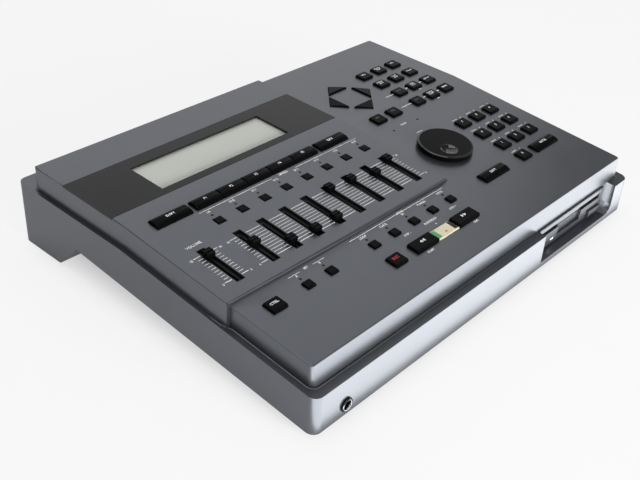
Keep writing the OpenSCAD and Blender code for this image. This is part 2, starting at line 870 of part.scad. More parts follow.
module drive_chassis() {
    skin = 1.2;
    inner_z0 = slot_z - 3;
    inner_z1 = drive_h - skin;
    color([0.62, 0.63, 0.65])
        on_drive()
            difference() {
                translate([0, bezel_t + drive_l / 2, 0]) block(drive_w, drive_l, 0, drive_h);
                // Disk bay, open in front
                translate([0, bezel_t + drive_l / 2 - 15, 0]) block(disk_w + 2, drive_l, inner_z0, inner_z1);
                // Room for the mechanism below it, open at the back
                translate([0, bezel_t + drive_l / 2 + 15, 0])
                    block(disk_w + 2, drive_l, skin, inner_z0 - skin);
                translate([button_x, bezel_t, button_z])
                    block(button_w + 1, 2 * (eject_travel + 4), -button_h / 2 - 0.5, button_h / 2 + 0.5);
            }
}

module drive_bezel() {
    thumb_d = 2.4;
    color([0.55, 0.56, 0.58])
        on_drive()
            difference() {
                translate([0, bezel_t / 2, 0]) block(drive_w, bezel_t, 0, drive_h);
                // Disk slot, wider behind so that the door can swing up into it
                translate([0, 0, slot_z]) block(disk_w, 3 * bezel_t, 0, slot_h);
                translate([0, door_y + bezel_t, slot_z]) block(disk_w, 2 * bezel_t, -1, slot_h + 2.4);
                // Scoop for a thumb under the slot
                translate([0, 0, slot_z]) block(thumb_w, 2 * thumb_d, -9, 1);
                // Door pin sockets
                translate([0, hinge_y, hinge_z]) rotate([0, 90, 0])
                    cylinder(r = pin_r + shaft_gap, h = disk_w + 5, center = true);
                translate([button_x, 0, button_z])
                    block(button_w + 2 * key_gap, 60, -button_h / 2 - key_gap, button_h / 2 + key_gap);
                translate([-25, 0, button_z]) block(5, 2, -1.2, 1.2);
            }
}

module drive_door() {
    color([0.5, 0.51, 0.53])
        on_drive() {
            translate([0, hinge_y, slot_z])
                block(disk_w - 2 * door_gap, door_t, door_gap, slot_h - 0.2);
            translate([0, hinge_y, hinge_z]) rotate([0, 90, 0])
                cylinder(r = pin_r, h = disk_w + 4, center = true);
        }
}

module eject_button() {
    color([0.5, 0.51, 0.53])
        on_drive() translate([button_x, 0, button_z]) {
            translate([0, bezel_t / 2 - 0.5, 0]) block(button_w, bezel_t + 3, -button_h / 2, button_h / 2);
        }
}

// A phone jack with its nut outside and its bush through the wall, mouth at the origin, Z pointing out
module jack(body_l) {
    difference() {
        union() {
            cylinder(r = nut_r, h = socket_out);
            translate([0, 0, -body_l]) cylinder(r = bush_r, h = body_l + EPS);
        }
        translate([0, 0, -body_l - 1]) cylinder(r = jack_r, h = body_l + socket_out + 2);
    }
}

module phone_jacks() {
    color([0.75, 0.76, 0.78]) {
        translate([phones_x, front, phones_z]) rotate([90, 0, 0]) jack(phones_l);
        for (x = jack_xs) on_rear(x, socket_z) jack(jack_l);
    }
}

module midi_sockets() {
    body_w = 17;
    body_h = 15;
    body_l = 10;
    pin_ring = 3.7;
    socket_pin_r = 0.8;
    pin_l = 8;
    flush = 0.5;
    color([0.1, 0.1, 0.1])
        for (x = din_xs)
            on_rear(x, socket_z)
                difference() {
                    union() {
                        translate([0, 0, -wall - flush]) cylinder(r = din_r, h = wall + 2 * flush);
                        block(body_w, body_h, -wall - body_l, -wall);
                    }
                    for (a = [0:45:180])
                        translate([pin_ring * cos(a), pin_ring * sin(a), -pin_l])
                            cylinder(r = socket_pin_r, h = 2 * pin_l);
                }
}

module power_inlet() {
    color([0.08, 0.08, 0.08])
        on_rear(inlet_x, socket_z) {
            difference() {
                block(inlet_w + 2 * inlet_wall, inlet_h + 2 * inlet_wall, -inlet_l, 0.6);
                block(inlet_w, inlet_h, -inlet_l + 2, 10);
            }
            for (side = [-1, 1])
                translate([side * 4.6, 0, -inlet_l + 1]) cylinder(r = 1.2, h = inlet_l - 4);
        }
}

module power_button() {
    color([0.06, 0.06, 0.06])
        on_rear(power_x, socket_z) {
            block(power_w, power_h, -wall - seat_gap - lip_t, socket_out);
            block(power_w + 2 * key_lip, power_h, -wall - seat_gap - lip_t, -wall - seat_gap);
        }
}

module fader_units() {
    lever_gap = 0.4;
    cavity = 9;
    color([0.55, 0.56, 0.58])
        for (i = [0:8])
            on_panel(fader_x(i), -fader_s, raise_h - wall)
                difference() {
                    block(unit_w, unit_l, -board_depth - raise_h + wall, -seat_gap);
                    block(lever_w + 2 * lever_gap, fader_travel + lever_l + 2 * lever_gap, -cavity, 1);
                }
}

// Fader number i at its rest place
module fader(i) {
    lever_drop = 7;
    scoop_r = 0.364 * cap_l;
    color([0.05, 0.05, 0.05])
        on_panel(fader_x(i), -fader_s, raise_h)
            translate([0, fader_rest[i], 0]) {
                difference() {
                    block(cap_w, cap_l, cap_gap, cap_h);
                    // Scooped top with a raised grip line left in the middle
                    for (side = [-1, 1])
                        translate([0, side * (cap_l / 4 + 0.3), cap_h + 0.79 * scoop_r])
                            rotate([0, 90, 0]) cylinder(r = scoop_r, h = cap_w + 2, center = true);
                }
                block(lever_w, lever_l, -wall - lever_drop, cap_gap + EPS);
            }
}

module volume_fader() { fader(0); }
module part_fader_1() { fader(1); }
module part_fader_2() { fader(2); }
module part_fader_3() { fader(3); }
module part_fader_4() { fader(4); }
module part_fader_5() { fader(5); }
module part_fader_6() { fader(6); }
module part_fader_7() { fader(7); }
module part_fader_8() { fader(8); }

module dial_encoder() {
    body_h = 6;
    bush_up = -wall - seat_gap;
    color([0.65, 0.66, 0.68])
        on_panel(dial_x, -dial_s)
            difference() {
                union() {
                    block(encoder_w, encoder_w, -board_depth, -board_depth + body_h);
                    translate([0, 0, -board_depth + body_h - EPS])
                        cylinder(r = shaft_dia / 2 + 1.4, h = board_depth - body_h + bush_up + EPS);
                }
                translate([0, 0, -board_depth - 1]) cylinder(r = shaft_dia / 2 + shaft_gap, h = 30);
            }
}

module data_dial() {
    dimple_out = 11;
    dimple_at = -128;
    sag = 2;
    ball = (dimple_r * dimple_r + sag * sag) / (2 * sag);
    color([0.04, 0.04, 0.045])
        on_panel(dial_x, -dial_s) {
            difference() {
                translate([0, 0, dial_up]) cylinder(r = dial_dia / 2, h = dial_t);
                rotate(dimple_at)
                    translate([dimple_out, 0, dial_up + dial_t + ball - sag]) sphere(r = ball);
            }
            translate([0, 0, -board_depth + 1]) cylinder(r = shaft_dia / 2, h = board_depth + dial_up);
        }
}

module status_lamps() {
    color([0.35, 0.08, 0.06])
        lamp_places()
            translate([0, 0, -lamp_l]) cylinder(r = lamp_r, h = lamp_l + lamp_up);
}

// A key with its retaining lips under the panel and its stem down to the switch
module key(w, d, h, x, s, lip_x = key_lip) {
    deck = raised(x, s);
    lip_z = deck - wall - seat_gap;
    stem = 3;
    on_panel(x, s) {
        block(w, d, lip_z - lip_t, deck + h);
        block(w + 2 * lip_x, d + 2 * key_lip, lip_z - lip_t, lip_z);
        block(stem, stem, -board_depth + switch_h + key_travel + seat_gap, lip_z - lip_t + EPS);
    }
}

module black() {
    color([0.06, 0.06, 0.065]) children();
}

module strip_key(x, s, h = long_h) {
    black() key(strip_pitch - strip_gap, key_d, h, x, s, 0);
}

module square_keys(x, s, n) {
    black() for (i = [0:n - 1]) key(key_w, key_d, key_h, x + i * key_pitch, s);
}

module small_keys(list) {
    black() for (i = list) key(small_w, small_d, small_h, small_x(i), small_s);
}

// A cursor key, a = 0 for the one that points to the rear
module cursor_key(a) {
    lip_z = -wall - seat_gap;
    black()
        on_panel(cursor_x, cursor_s)
            rotate(a) {
                translate([0, 0, lip_z - lip_t]) linear_extrude(cursor_h - lip_z + lip_t) cursor_outline(0);
                translate([0, 0, lip_z - lip_t]) linear_extrude(lip_t) cursor_outline(cursor_lip);
                translate([0, cursor_stem, 0])
                    block(3, 3, -board_depth + switch_h + key_travel + seat_gap, lip_z - lip_t + EPS);
            }
}

module f1_key() { strip_key(strip_x - 2 * strip_pitch, function_s); }
module f2_key() { strip_key(strip_x - strip_pitch, function_s); }
module f3_key() { strip_key(strip_x, function_s); }
module f4_key() { strip_key(strip_x + strip_pitch, function_s); }
module f5_key() { strip_key(strip_x + 2 * strip_pitch, function_s); }
module stop_key() { strip_key(transport_x - strip_pitch, transport_s); }
module play_key() { strip_key(transport_x, transport_s, low_h); }
module forward_key() { strip_key(transport_x + strip_pitch, transport_s); }
module left_shift_key() { black() key(long_w, key_d, long_h, shift_x, function_s); }
module exit_key() { black() key(long_w, key_d, long_h, exit_x, function_s); }
module enter_key() { black() key(long_w, key_d, long_h, enter_x, last_s); }
module right_shift_key() { black() key(long_w, key_d, long_h, shift2_x, last_s); }
module ctrl_key() { black() key(key_w, key_d, key_h, ctrl_x, ctrl_s); }
module rec_key() { black() key(key_w, key_d, key_h, rec_x, transport_s); }
module cursor_up() { cursor_key(0); }
module cursor_left() { cursor_key(90); }
module cursor_down() { cursor_key(180); }
module cursor_right() { cursor_key(270); }
module part_keys() {
    black() for (i = cols) key(small_w, small_d, part_h, part_x(i), part_s);
}
module small_keys_left() { small_keys([0, 1]); }
module small_keys_right() { small_keys([3:7]); }
module mode_keys_1() { square_keys(mode_x, mode_s, 3); }
module mode_keys_2() { square_keys(mode_x, mode_s - key_pitch, 3); }
module mode_keys_3() { square_keys(mode_x, mode_s - 2 * key_pitch, 3); }
module mode_keys_4() {
    square_keys(mode_x, pair_s, 3);
    square_keys(pair_x, pair_s, 2);
}
module number_keys_1() { square_keys(number_x, number_s, 3); }
module number_keys_2() { square_keys(number_x, number_s - key_pitch, 3); }
module number_keys_3() { square_keys(number_x, number_s - 2 * key_pitch, 3); }
module zero_key() { square_keys(number_x, last_s, 1); }

lower_case();
rear_legs();
top_case();
display_window();
lcd_module();
panel_boards();
main_board();
power_supply();
drive_chassis();
drive_bezel();
phone_jacks();
midi_sockets();
power_inlet();
rubber_feet();
case_screws();
fader_units();
dial_encoder();
status_lamps();
volume_fader();
part_fader_1();
part_fader_2();
part_fader_3();
part_fader_4();
part_fader_5();
part_fader_6();
part_fader_7();
part_fader_8();
data_dial();
power_button();
eject_button();
drive_door();
f1_key();
f2_key();
f3_key();
f4_key();
f5_key();
left_shift_key();
exit_key();
enter_key();
right_shift_key();
ctrl_key();
rec_key();
stop_key();
play_key();
forward_key();
cursor_up();
cursor_down();
cursor_left();
cursor_right();
part_keys();
mode_keys_1();
mode_keys_2();
mode_keys_3();
mode_keys_4();
number_keys_1();
number_keys_2();
number_keys_3();
zero_key();
small_keys_left();
small_keys_right();
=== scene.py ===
"""Looks of a desktop music workstation: rounded shells, caps, legends, finishes and a plain studio."""
import json
import math

import bmesh
import bpy
from bpy.props import FloatProperty, FloatVectorProperty, PointerProperty
from bpy.types import Operator, Panel, PropertyGroup
from mathutils import Matrix, Vector


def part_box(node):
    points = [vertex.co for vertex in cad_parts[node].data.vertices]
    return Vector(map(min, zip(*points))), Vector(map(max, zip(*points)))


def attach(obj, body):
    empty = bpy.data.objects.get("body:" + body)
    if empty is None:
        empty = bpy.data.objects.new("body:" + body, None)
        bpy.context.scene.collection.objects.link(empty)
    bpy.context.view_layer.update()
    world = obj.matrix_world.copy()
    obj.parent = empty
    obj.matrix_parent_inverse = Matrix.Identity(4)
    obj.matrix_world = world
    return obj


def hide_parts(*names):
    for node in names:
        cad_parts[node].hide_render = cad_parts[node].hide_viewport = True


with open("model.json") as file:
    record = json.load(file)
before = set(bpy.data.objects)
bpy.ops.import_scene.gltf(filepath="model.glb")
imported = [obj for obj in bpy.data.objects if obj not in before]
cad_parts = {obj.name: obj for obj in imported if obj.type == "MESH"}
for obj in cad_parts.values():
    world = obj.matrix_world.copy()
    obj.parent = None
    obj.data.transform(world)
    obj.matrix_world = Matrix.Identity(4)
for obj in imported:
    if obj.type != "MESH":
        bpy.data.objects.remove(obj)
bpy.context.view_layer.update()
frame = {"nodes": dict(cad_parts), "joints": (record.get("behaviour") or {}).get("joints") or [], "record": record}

bl_info = {
    "name": "Music workstation looks",
    "version": (1, 0, 0),
    "blender": (4, 2, 0),
    "location": "3D View > Sidebar > Workstation",
    "description": "Builds the visible pieces of a desktop music workstation on its packed solids",
    "category": "Object",
}

# Pieces are modelled in millimetres and set in place by matrices that scale to metres
MM = 0.001
RIGHT = Vector((1, 0, 0))
WHITE = (1, 1, 1, 1)

# Camera: its place in metres, its axes, and its lens and sensor in millimetres
CAMERA_AT = (-0.529376, -0.429897, 0.438048)
CAMERA_RIGHT = Vector((0.672758, -0.737824, 0.054894))
CAMERA_DOWN = Vector((-0.380009, -0.40825, -0.830015))
CAMERA_AHEAD = Vector((0.634815, 0.537539, -0.555033))
LENS = 54.23
SENSOR_WIDTH = 36.0

# Soft lights in metres and watts: name, place, size, power, what each faces, and whether gloss mirrors it
# The front softbox isn't mirrored, because seen from behind its image would burn out the panel
CASE_MIDDLE = (0, 0, 0.04)
LIGHTS = (
    ("front_softbox", (-0.25, -2.15, 0.55), (1.6, 0.8), 60.0, CASE_MIDDLE, False),
    ("top_softbox", (-0.2, 0.2, 2.2), (1.8, 1.8), 17.0, CASE_MIDDLE, True),
    ("rear_card", (1.05, 1.3, 1.2), (2.2, 1.6), 7.0, CASE_MIDDLE, True),
    ("floor_card", (0.15, -0.4135, 0.006), (0.9, 0.5), 4.3, (0.15, -0.3935, 1.0), True),
)

# World: strength of its even light, and the white sweep that gloss sees, fading between two heights
# The sweep is strongest towards SWEEP_SIDE and has half its strength square to it
EVEN_LIGHT = 0.15
SWEEP_HEIGHTS = (0.14, 0.34)
SWEEP_SIDE = (0.525, -0.462, 0.0)
SWEEP_SQUARE = 0.5

# Floor in metres: half its side, the shaded middle and how far the shade fades beyond it
# The last three are its share of plain white under the case, far from it, and in mirrors
FLOOR_HALF = 4.0
SHADE_CORE = (0.165, 0.12, 0.0)
SHADE_FADE = 0.05
WHITE_UNDER = 0.4
WHITE_FAR = 0.8
WHITE_MIRRORED = 0.15

# Grain: the slow drift of tone, the part of its noise that is used, and the depth of bumps in metres
DRIFT = {"Scale": 22.0, "Detail": 5.0}
FINE_DETAIL = 2.0
NOISE_SPAN = (0.3, 0.7)
BUMP_DEPTH = 0.0001

# Places on the panel: x from the middle of the case, s from the bend, positive behind it
RAISE_UP = 3.4
RAISE_RIGHT = 37.3
RAISE_S = -104.8
COLUMN_PITCH = 22.7
COLUMNS = [-139.8 + i * COLUMN_PITCH for i in range(8)]
VOLUME_X = -173.2
FADER_XS = (VOLUME_X, *COLUMNS)
FADER_S = -73.5
FADER_REST = (11.8, 2.3, -11.3, -13.6, -13.1, 14.5, 12.6, 7, 14)
SLOT_LENGTH = 41
PART_S = -36.6
SMALL_S = -123.1
SMALL_PITCH = 22.95
SMALL_XS = [-139.0 + i * SMALL_PITCH for i in (0, 1, 3, 4, 5, 6, 7)]
SMALL_LEFT = 2
LAMP_BEHIND = 7.7
FUNCTION_S = -13.4
STRIP_PITCH = 25.6
STRIP_X = -80.75
SHIFT_X = -164.5
EXIT_X = 3.0
CTRL_X = -171.3
CTRL_S = -123.8
REC_X = -71.6
TRANSPORT_X = -15.6
TRANSPORT_S = -144.6
KEY_PITCH = 20.9
NUMBER_X = 125.8
NUMBER_S = -60.1
LAST_S = NUMBER_S - 3 * KEY_PITCH
ENTER_X = NUMBER_X + 1.5 * KEY_PITCH
RIGHT_SHIFT_X = 81.0
MODE_X = 123.6
MODE_S = 51.9
PAIR_X = 68.5
CURSOR_X = 80.7
CURSOR_S = 31.9
DIAL_X = 79.7
DIAL_S = -73.8
DIAL_LAMP_S = -30.3
DIAL_LAMP_XS = (65.9, 98.5)
DIAL_PIVOT_UP = 3.0

# Shells: welding distance in metres, the angle below which faces join, and the angle of sharp edges
WELD = 0.00001
FLATTEN = math.radians(0.6)
SHARP = math.radians(35)
# How near the outside an edge has to be, in metres, to be rounded as an outer edge
TOP_SIDE_ZONE = 0.0062
TOP_END_ZONE = 0.0082
TRAY_ZONE = 0.0075
# An edge of the tray is rounded where it is longer than the first or as near a side as the second
TRAY_LONG = 0.03
TRAY_SIDE = 0.008
# A square edge that runs further across the panel than this, such as the block's front, is a block edge
BLOCK_WIDE = 0.1
# The legs rise by this share of the case's round edge
LEG_LIFT = 0.95

# Edges of the shells are told apart by the angle between their faces, in radians
SLOPE_FOLD = 0.45
RIM_FOLD = 0.9
TRAY_FOLD = 1.2
SQUARE_FOLD = 1.3

# They are also told apart by how far the normals of their faces point up
FLAT_UP = 0.98
RIM_UP = 0.9
RIM_WALL_UP = 0.5
SLOPE_UPS = (0.2, 0.95)
HOLE_WALL_UP = 0.12
LID_UP = 0.8
UPRIGHT = 0.9

# The bead on the shelf: how far it is from the middle on each side, and where it stops at the bay
BEAD_FRONT = 148.9
BEAD_SIDE = 195.0
BEAD_BLOCK = 197.7
BEAD_REAR = 137.9
BEAD_JOG = (-78, -70)
BEAD_ROUND = 6.0
BEAD_ARC = 8
BEAD_ENDS = (58.0, 182.0)
BEAD_END_SCALE = 0.3
# Its section: distance beside its middle and height over the shelf
BEAD_SECTION = (
    (0.55, -0.3), (0.5, 0.12), (0.3, 0.36), (0.0, 0.46), (-0.3, 0.36), (-0.5, 0.12), (-0.55, -0.3))
CASE_FRONT = 156.0
SHELF_FRONT = 34.6
SHELF_TILTS = (5.5, 0.75)

# Key sizes over the panel: width, depth and height
SQUARE = (13.0, 11.2, 2.0)
LONG = (32.6, 11.2, 2.4)
STRIP = (25.0, 11.2, 2.4)
LOW = (25.0, 11.2, 0.5)
SMALL = (7.7, 7.1, 1.6)
PART = (7.7, 7.1, 0.7)
KEY_SKIRT = 3.4
KEY_CORNER = 0.7

# Profile of a key from its skirt up: height from its top, then how far front, rear and sides are in
FLAT_PROFILE = (
    (-0.95, 0.0, 0.0, 0.0), (-0.5, 0.1, 0.06, 0.06), (-0.2, 0.3, 0.18, 0.18), (-0.05, 0.6, 0.38, 0.38),
    (0.0, 1.0, 0.65, 0.65), (-0.06, 2.7, 2.0, 2.0))
# The same for a long key, whose top is the crown of a barrel
BARREL_PROFILE = (
    (-1.9, 0.0, 0.0, 0.0), (-1.6, 0.14, 0.06, 0.06), (-1.05, 0.7, 0.26, 0.14), (-0.6, 1.6, 0.8, 0.22),
    (-0.3, 2.65, 1.5, 0.3), (-0.1, 3.8, 2.4, 0.4), (0.0, 5.2, 3.6, 0.55))

# Arrows on transport keys: half the way between two triangles, half their length, and their corners' y
ARROW_APART = 1.5
ARROW_HALF = 1.3
ARROW_YS = (-0.3, 1.2, 2.7)
# Marks on the pale key, the last a painted shadow of the forward key on its right end: width, depth, place on the
# key, and thickness over plain ink
PALE_MARKS_AND_SHADOW = ((4.4, 8.6, -9.4, 0.3, 0.06), (2.4, 1.2, 0.5, -1.5, 0.0), (3.4, 9.0, 10.2, 0.3, 0.06))
MARK_SINK = 0.02

# Cursor keys: base and tip from the diamond's middle, half the base, and rings as inset, height and fall
CURSOR_BASE = 15.0
CURSOR_TIP = 26.8
CURSOR_HALF = 11.8
CURSOR_RINGS = ((0.0, -KEY_SKIRT, 0.0), (0.0, 0.7, 0.0), (0.12, 0.9, 0.35), (0.5, 1.25, 0.35))

# Side of half a fader cap, from the grip line in its middle over a shallow scoop to its straight end
CAP_SIDE = (
    (0.35, 4.7), (0.5, 4.62), (0.75, 4.42), (1.2, 4.24), (1.8, 4.18), (2.4, 4.26), (2.8, 4.4), (3.05, 4.42),
    (3.22, 4.25), (3.3, 3.9), (3.3, 0.6))
CAP_END, CAP_FOOT = CAP_SIDE[-1]
CAP_HALF = 3.6
# Its rings across: share of half its width, and how far the outline is in
CAP_RINGS = ((1.0, 0.2), (0.94, 0.0), (-0.94, 0.0), (-1.0, 0.2))
LEVER = (1.6, 4.0, 10.1)
LEVER_FOOT = -9.5

# Liners of the fader slots, black as painted shade on the slot walls: outer size, wall, corner, and heights of
# foot and top
LINER = (7.54, SLOT_LENGTH - 0.06)
LINER_WALL = 0.35
LINER_CORNER = 0.1
LINER_HEIGHTS = (-2.3, -0.04)

# Dial: radius and height of its shaft, then distance in from its rim and height of its side
DIAL_RADIUS = 23.75
DIAL_SHAFT = ((3.0, -12.0), (3.0, 0.8))
DIAL_SIDE = (
    (1.2, 0.8), (0.3, 1.1), (0.0, 1.7), (0.0, 2.6), (0.3, 2.9), (0.3, 3.2), (0.0, 3.5), (0.0, 4.1),
    (0.1, 4.5), (0.35, 4.85), (0.7, 5.06), (1.15, 5.16))
DIAL_STEPS = 128
# Its top: height, rings and where they start, and the polished rings of its edge
DIAL_TOP = 5.2
TOP_RINGS = 44
TOP_START = 1.6
TOP_STEP = 0.5
POLISHED_RINGS = 4
# Its finger dimple: place, radius, steepness, and a lip whose place and width are shares of the radius
DIMPLE_OUT = 11.0
DIMPLE_TURN = math.radians(-128)
DIMPLE_RADIUS = 7.0
DIMPLE_POWER = 0.7
LIP_UP = 0.15
LIP_AT = 1.06
LIP_WIDTH = 0.08
POLISHED_RADIUS = 7.4

# Drive: sizes of its bezel and places on it, from the middle of the bezel's lower edge
DRIVE_TILT = math.radians(5.0)
DRIVE_WIDTH = 101.6
DRIVE_HEIGHT = 25.4
EJECT_X, EJECT_Y, EJECT_WIDTH, EJECT_HEIGHT = (40.0, 6.0, 17.0, 5.5)
EJECT_ROOM = 2.2
# Dark outlines, painted shade of the gaps around the bezel and the button: size, distance in, thickness, corner
# and place
GAP_SHADE_OUTLINES = (
    (DRIVE_WIDTH, DRIVE_HEIGHT, 0.35, 0.45, 1.8, 0, DRIVE_HEIGHT / 2),
    (EJECT_WIDTH + EJECT_ROOM, EJECT_HEIGHT + EJECT_ROOM, 0.0, 0.5, 0.8, EJECT_X, EJECT_Y))
OUTLINE_FOOT = -0.05
DRIVE_LAMP = (-25.0, 6.0)
DRIVE_LENS = (4.7, 2.1)
DRIVE_LENS_CORNER = 0.5
DRIVE_LENS_HEIGHTS = (-0.9, 0.1)
# Plate on the door's middle: size, and place on the bezel's face
DOOR_PLATE = (35.4, 3.6, 0.25)
DOOR_PLATE_AT = (0, 17.8, -2.25)

# Parts of a jack: radius and height about its axis, from the wall outwards
JACK_COLLAR = (
    (4.4, -1.0), (4.6, -1.0), (5.2, 0.0), (5.4, 0.2), (5.4, 0.9), (5.1, 1.3), (4.7, 1.4), (4.4, 1.2))
JACK_RING = ((3.5, -1.0), (4.3, -1.0), (4.3, 1.2), (4.2, 1.45), (4.0, 1.6), (3.7, 1.5), (3.5, 1.1))
JACK_THROAT = ((3.2, -11.0), (4.4, -11.0), (4.4, -1.2), (3.3, -1.2), (3.2, -1.4))

# A lamp's radius and height over the panel
LAMP_PROFILE = ((1.0, -4.0), (1.0, 0.05), (0.92, 0.2), (0.72, 0.33), (0.4, 0.42), (0.1, 0.45))
LAMP_STEPS = 20

# Lettering: share of the font's size that capitals have, how far ink spreads, and curve steps
CAPITALS = 0.72
INK_SPREAD = 0.03
LETTER_STEPS = 3
LETTER_WELD = 0.0001
LINE_SPACING = 1.35
INK_OVER_KEY = 0.01
PRINT_LINE = 0.35

# Fader scales: first line, step, number of lines, and how far lines stay from a slot's middle
SCALE_S = -58.6
SCALE_STEP = 3.1
SCALE_LINES = 11
SCALE_CLEAR = 4.6
# Thickness and length of plain ticks and of those at both ends
PLAIN_TICK = (0.36, 4.2)
END_TICK = (0.5, 6.2)
# Figures beside the outer scales: text, distance from the slot, s and height
SCALE_FIGURES = (("10", 13.0, -59.4, 1.9), ("0", 12.6, -90.4, 1.9))

# Lines on the panel: both ends, s and thickness
PANEL_LINES = (
    (-146, -73.5, -22.0, PRINT_LINE), (-47.5, 25, -22.0, PRINT_LINE), (-82, 29, -109.2, PRINT_LINE),
    (-145, -134, -109.9, PRINT_LINE), (-121, -109.5, -109.9, PRINT_LINE), (79.3, 87.1, -44.6, 1.2),
    (TRANSPORT_X + 1.8, TRANSPORT_X + 2.8, -135.3, 1.0))
# Words on the panel: text, x, s and height
PANEL_WORDS = (
    ("LEVELS", -60.7, -21.8, 2.2), ("VOLUME", VOLUME_X - 0.2, -47.2, 2.5), ("SET", -127.5, -109.4, 2.0),
    ("STEP -", TRANSPORT_X - STRIP_PITCH, -130.2, 2.0), ("RUN/HOLD", TRANSPORT_X + 1.5, -130.6, 2.0),
    ("STEP +", TRANSPORT_X + STRIP_PITCH + 4.0, -130.9, 2.0), ("BANK", 82.1, -28.1, 2.0),
    ("START", TRANSPORT_X - STRIP_PITCH - 1.5, -153.2, 1.9),
    ("END", TRANSPORT_X + STRIP_PITCH + 4.0, -152.8, 1.9))
PART_WORD_S = -24.8
SMALL_WORDS = ("A", "B", "LOOP", "CLICK", "SYNC\nIN", "PUNCH", "LOCK")
SMALL_WORD_S = -111.9
SMALL_WORD_STEP = 2.8
COLUMN_WORD = 2.0
# Marks about the last two mode rows: both ends, s from the row's middle and thickness
MODE_MARKS = ((134.5, 137.5, 1.7, 1.1), (154.9, 157.9, 1.7, 1.1), (143.8, 147.0, -7.3, 0.9))
MODE_LEADS = ((2, (106.2, 116.6, 1.7, 0.7)), (3, (103.2, 116.6, 1.7, 0.7)))
# Marks behind each number key: both ends and s from the key's middle, and thickness
NUMBER_MARKS = ((-4.6, 2.2, 8.6, 1.1), (6.6, 7.8, 8.6, 1.1))

# Finishes: colour, or the setting that holds it, grain scale, tone, bump, roughness, metal and gloss
FINISHES = {
    "slate_paint": ("slate", 3000, 0.03, 0.05, (0.3, 0.35), 0.85, 0.5),
    "key_plastic": ("black", 2400, 0.15, 0.05, (0.2, 0.28), 0.0, 0.05),
    "dial_plastic": ("black", 2400, 0.15, 0.01, (0.05, 0.09), 0.0, 0.05),
    "dial_polish": ("black", 2400, 0.15, 0.01, (0.06, 0.1), 0.0, 0.9),
    "white_ink": ("white_ink", 4000, 0.05, 0.05, (0.5, 0.6), 0.0, 0.5),
    "red_ink": ("red_ink", 4000, 0.05, 0.05, (0.5, 0.6), 0.0, 0.5),
    "dim_ink": ((0.11, 0.1, 0.1), 4000, 0.05, 0.05, (0.5, 0.6), 0.0, 0.5),
    "pale_key": ("cream", 1800, 0.06, 0.05, (0.4, 0.5), 0.0, 0.5),
    "green_mark": ((0.1, 0.36, 0.16), 3000, 0.1, 0.05, (0.5, 0.6), 0.0, 0.5),
    "amber_mark": ((0.4, 0.16, 0.03), 3000, 0.1, 0.05, (0.5, 0.6), 0.0, 0.5),
    # Dark brown: painted shadow of the forward key on the pale key's right end
    "pale_key_shadow": ((0.03, 0.02, 0.014), 3000, 0.2, 0.1, (0.5, 0.6), 0.0, 0.5),
    # Near black: painted shade on the walls of the fader slots
    "slot_shade_black": ((0.006, 0.006, 0.006), 3000, 0.2, 0.1, (0.5, 0.6), 0.0, 0.5),
    "slot_cover": ((0.016, 0.015, 0.015), 3500, 0.3, 0.3, (0.35, 0.5), 0.0, 0.5),
    "window_gloss": ((0.006, 0.006, 0.007), 300, 0.1, 0.004, (0.06, 0.1), 0.0, 0.3),
    "display_glass": ("screen", 900, 0.02, 0.0, (0.2, 0.3), 0.0, 0.5),
    # Black of the drive's door, also used as painted shade in the outlines around the bezel and the button
    "drive_black_and_gap_shade": ((0.008, 0.008, 0.009), 2500, 0.2, 0.1, (0.45, 0.55), 0.0, 0.2),
    "drive_lens": ((0.72, 0.73, 0.72), 2500, 0.05, 0.02, (0.2, 0.3), 0.0, 0.5),
    "door_plate": ((0.2, 0.19, 0.185), 2500, 0.08, 0.08, (0.35, 0.45), 0.7, 0.5),
    "nickel": ((0.42, 0.43, 0.45), 1500, 0.05, 0.05, (0.14, 0.24), 1.0, 0.5),
    "jack_throat": ((0.006, 0.006, 0.006), 2500, 0.2, 0.1, (0.4, 0.5), 0.0, 0.1),
    "lamp_lens": ((0.02, 0.004, 0.004), 2500, 0.1, 0.02, (0.15, 0.25), 0.0, 0.5),
    "socket_plastic": ((0.012, 0.012, 0.012), 2500, 0.2, 0.1, (0.4, 0.55), 0.0, 0.5),
    "soft_rubber": ((0.015, 0.015, 0.015), 1600, 0.3, 0.4, (0.75, 0.9), 0.0, 0.5),
    "circuit_lacquer": ((0.02, 0.12, 0.06), 1200, 0.3, 0.3, (0.3, 0.5), 0.0, 0.5),
    "supply_board": ((0.3, 0.22, 0.09), 1500, 0.2, 0.2, (0.5, 0.7), 0.0, 0.5),
    "plated_steel": ((0.55, 0.56, 0.58), 1800, 0.1, 0.1, (0.3, 0.45), 1.0, 0.5),
    "screw_steel": ((0.5, 0.5, 0.52), 2000, 0.1, 0.1, (0.3, 0.4), 1.0, 0.5),
    "encoder_metal": ((0.5, 0.5, 0.52), 2000, 0.1, 0.1, (0.3, 0.4), 1.0, 0.5),
    "floor_paper": ("floor", 900, 0.01, 0.01, (0.85, 0.95), 0.0, 0.5),
}

# Solids that keep their own mesh: finish, and width and steps of their soft edges in metres
SOFT_ANGLE = math.radians(50)
PLAIN_EDGE = (0.00015, 2)
WINDOW_EDGE = (0.0001, 2)
DRIVE_EDGE = (0.0003, 3)
PLAIN_SOLIDS = {
    "lcd_module": "display_glass",
    "panel_boards": "circuit_lacquer",
    "main_board": "circuit_lacquer",
    "power_supply": "supply_board",
    "drive_chassis": "plated_steel",
    "midi_sockets": "socket_plastic",
    "power_inlet": "socket_plastic",
    "power_button": "socket_plastic",
    "rubber_feet": "soft_rubber",
    "case_screws": "screw_steel",
    "fader_units": "slot_cover",
    "dial_encoder": "encoder_metal",
}
DRIVE_SOLIDS = {"drive_bezel": "slate_paint", "drive_door": "drive_black_and_gap_shade", "eject_button": "slate_paint"}


def joint(name):
    """The record's joint of that name."""
    return next(j for j in frame["joints"] if j["name"] == name)


FRONT_UP = -Vector(joint("f1_key_press")["axis"])
REAR_UP = -Vector(joint("mode_keys_1_press")["axis"])


